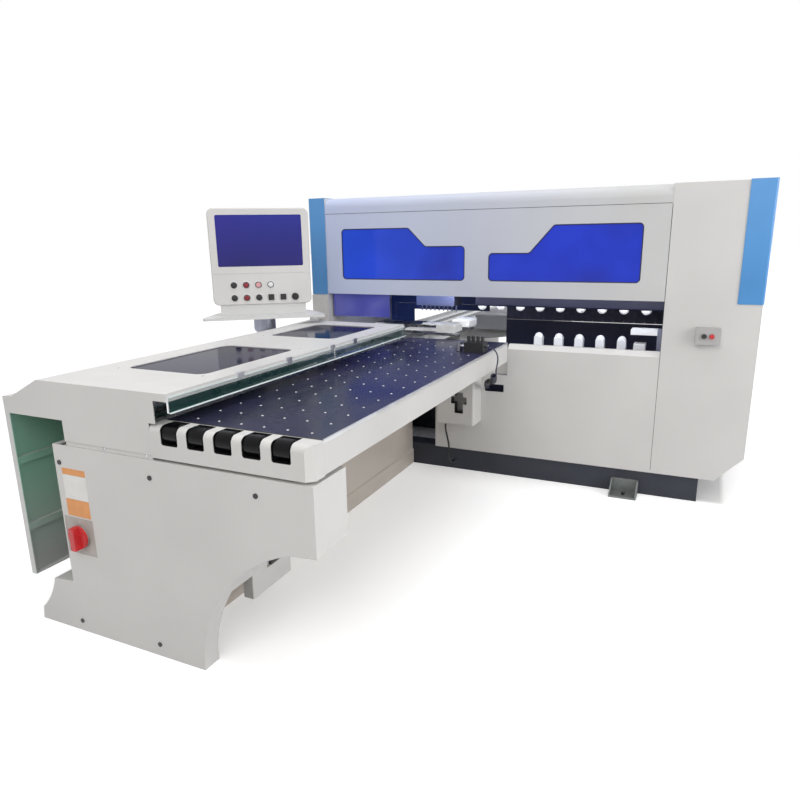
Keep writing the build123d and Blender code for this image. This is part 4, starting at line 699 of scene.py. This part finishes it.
CABLE = [(-0.352, -0.596, 0.346), (-0.352, -0.596, 0.312), (-0.345, -0.588, 0.262), (-0.334, -0.582, 0.208),
         (-0.331, -0.580, 0.152), (-0.333, -0.568, 0.102), (-0.336, -0.536, 0.066), (-0.338, -0.506, 0.056),
         (-0.338, -0.4723, 0.056)]
HOSE = [(0.065, -1.085, 0.938), (0.090, -1.085, 0.938), (0.117, -1.088, 0.922), (0.132, -1.094, 0.894),
        (0.133, -1.100, 0.860), (0.127, -1.106, 0.824), (0.114, -1.106, 0.790)]
COIL = [(0.114, -1.106, 0.790), (0.092, -1.020, 0.744), (0.042, -0.900, 0.712), (-0.020, -0.760, 0.680),
        (-0.070, -0.630, 0.640), (-0.096, -0.540, 0.600)]
HOSE_END = (-0.106, -0.482, 0.584)

COIL_RADIUS = 0.0135
COIL_TURNS = 58
TURN_STEPS = 12
# Points where the coil opens out into the hose's end: shares of its radius sideways and along the
# turn, and the way along its axis
OPENING = [(0.74, 0.74, 0.006), (0.32, 0.90, 0.016), (0.04, 0.52, 0.029)]


def nurbs(name, points, radius=0.0, steps=8, sides=3):
    """A cord's curve; steps divide each run and sides the quarter of its round section."""
    curve = bpy.data.curves.new(name, "CURVE")
    curve.dimensions = "3D"
    curve.bevel_depth = radius
    curve.bevel_resolution = sides
    curve.resolution_u = steps
    curve.use_fill_caps = radius > 0
    spline = curve.splines.new("NURBS")
    spline.points.add(len(points) - 1)
    for spline_point, point in zip(spline.points, points):
        spline_point.co = (*point, 1.0)
    spline.order_u = 3
    spline.use_endpoint_u = True
    made = bpy.data.objects.new(name, curve)
    scene.collection.objects.link(made)
    return made


def line_of(points):
    """Points along a route's NURBS spline."""
    made = nurbs("route", points)
    mesh = bpy.data.meshes.new_from_object(made)
    line = [v.co.copy() for v in mesh.vertices]
    bpy.data.meshes.remove(mesh)
    bpy.data.objects.remove(made)
    return line


def helix(line):
    """Points of a coil wound round a line, entered from above and opening out at its end."""
    lengths = [0.0]
    for a, b in zip(line, line[1:]):
        lengths.append(lengths[-1] + (b - a).length)
    points = []
    count = COIL_TURNS * TURN_STEPS
    down = Vector((0, 0, -1))
    ahead = (line[1] - line[0]).normalized()
    side = (down - ahead * down.dot(ahead)).normalized().cross(ahead)
    for n in range(count + 1):
        way = lengths[-1] * n / count
        k = min(bisect_right(lengths, way + 1e-9) - 1, len(line) - 2)
        at = line[k].lerp(line[k + 1], (way - lengths[k]) / (lengths[k + 1] - lengths[k]))
        ahead = (line[k + 1] - line[k]).normalized()
        side = (side - ahead * side.dot(ahead)).normalized()
        other = ahead.cross(side)
        angle = 2 * math.pi * n / TURN_STEPS
        points.append(at + side * (COIL_RADIUS * math.cos(angle)) + other * (COIL_RADIUS * math.sin(angle)))
    for sideways, along, away in OPENING:
        points.append(line[-1] + side * (COIL_RADIUS * sideways) + other * (COIL_RADIUS * along)
                      + ahead * away)
    return points


cable = nurbs("valve_lead", CABLE, 0.006)
cable.data.materials.append(rubber)
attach(cable, "machine")
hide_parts("valve_cable")

hose_points = [Vector(p) for p in HOSE[:-1]] + helix(line_of(COIL)) + [Vector(HOSE_END)]
hose = nurbs("pusher_hose", hose_points, 0.004, steps=3, sides=2)
hose.data.materials.append(hose_skin)
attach(hose, "machine")
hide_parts("air_hose")


# Floor, lights and world

def floor():
    """Pale floor. It glows white to the rays that see the background, but not under the gantry."""
    mesh = bpy.data.meshes.new("floor")
    mesh.from_pydata([(-40, -40, 0), (40, -40, 0), (40, 60, 0), (-40, 60, 0)], [], [(0, 1, 2, 3)])
    made = bpy.data.objects.new("floor", mesh)
    scene.collection.objects.link(made)
    s = Shade("floor_paint")
    seen = s.sees_background()
    s.put("Roughness", 0.9)
    s.put("Specular IOR Level", 0.1)
    s.put("Base Color", s.mix(seen, (0.50, 0.50, 0.50), (0.96, 0.96, 0.96)))
    s.put("Emission Color", (1.0, 1.0, 1.0))
    half_sizes = (("X", 1.28), ("Y", 0.44))     # of the floor under the gantry
    beside = [s.ramp(s.math("ABSOLUTE", s.axis(which)), 0.0, 0.30, half, half + 0.03)
              for which, half in half_sizes]
    distance = s.node("ShaderNodeVectorMath", operation="LENGTH")
    s.feed(s.coords.outputs["Object"], distance.inputs[0])
    far = s.ramp(distance.outputs["Value"], 0.0, 0.32, 2.5, 9.0)
    glow = s.math("ADD", s.math("MAXIMUM", *beside), far)
    s.put("Emission Strength", s.math("MULTIPLY", seen, glow))
    made.data.materials.append(s.mat)


def area(name, place, aim, size, watts, colour=(1, 1, 1)):
    """A rectangular lamp at a place, turned towards another."""
    data = bpy.data.lights.new(name, "AREA")
    data.shape = "RECTANGLE"
    data.size, data.size_y = size
    data.energy = watts
    data.color = colour
    made = bpy.data.objects.new(name, data)
    scene.collection.objects.link(made)
    made.location = place
    made.rotation_euler = (Vector(aim) - Vector(place)).to_track_quat("-Z", "Y").to_euler()


def add_world():
    """White background for the rays that see it, and for the others a soft sky, brighter above."""
    world = bpy.data.worlds.new("world")
    world.use_nodes = True
    w = Nodes(world.node_tree)
    sky = w.ramp(w.axis("Z", "Generated"), 0.35, 0.60, -0.1, 0.9)
    background = w.tree.nodes["Background"]
    background.inputs["Color"].default_value = (1, 1, 1, 1)
    w.feed(w.mix(w.sees_background(), sky, 1.0, "FLOAT"), background.inputs["Strength"])
    scene.world = world


floor()
area("key", (0.6, -6.5, 4.2), (-0.1, -1.0, 0.8), (4.0, 3.0), 98.0, (1.0, 0.985, 0.96))
area("right", (5.5, -2.6, 2.2), (-0.2, -1.2, 0.7), (3.5, 2.5), 135.0)
area("top", (0.0, -1.2, 6.0), (0.0, -1.0, 0.9), (6.0, 6.0), 132.0, (0.97, 0.985, 1.0))
area("throat", (0.25, -0.42, 1.13), (0.25, -0.10, 0.95), (1.6, 0.10), 3.4, (0.92, 0.94, 1.0))
area("inside", (-0.7, -0.30, 1.15), (-0.7, 0.45, 1.0), (0.8, 0.2), 0.9, (0.40, 0.55, 1.0))
add_world()
scene.view_settings.view_transform = "Standard"
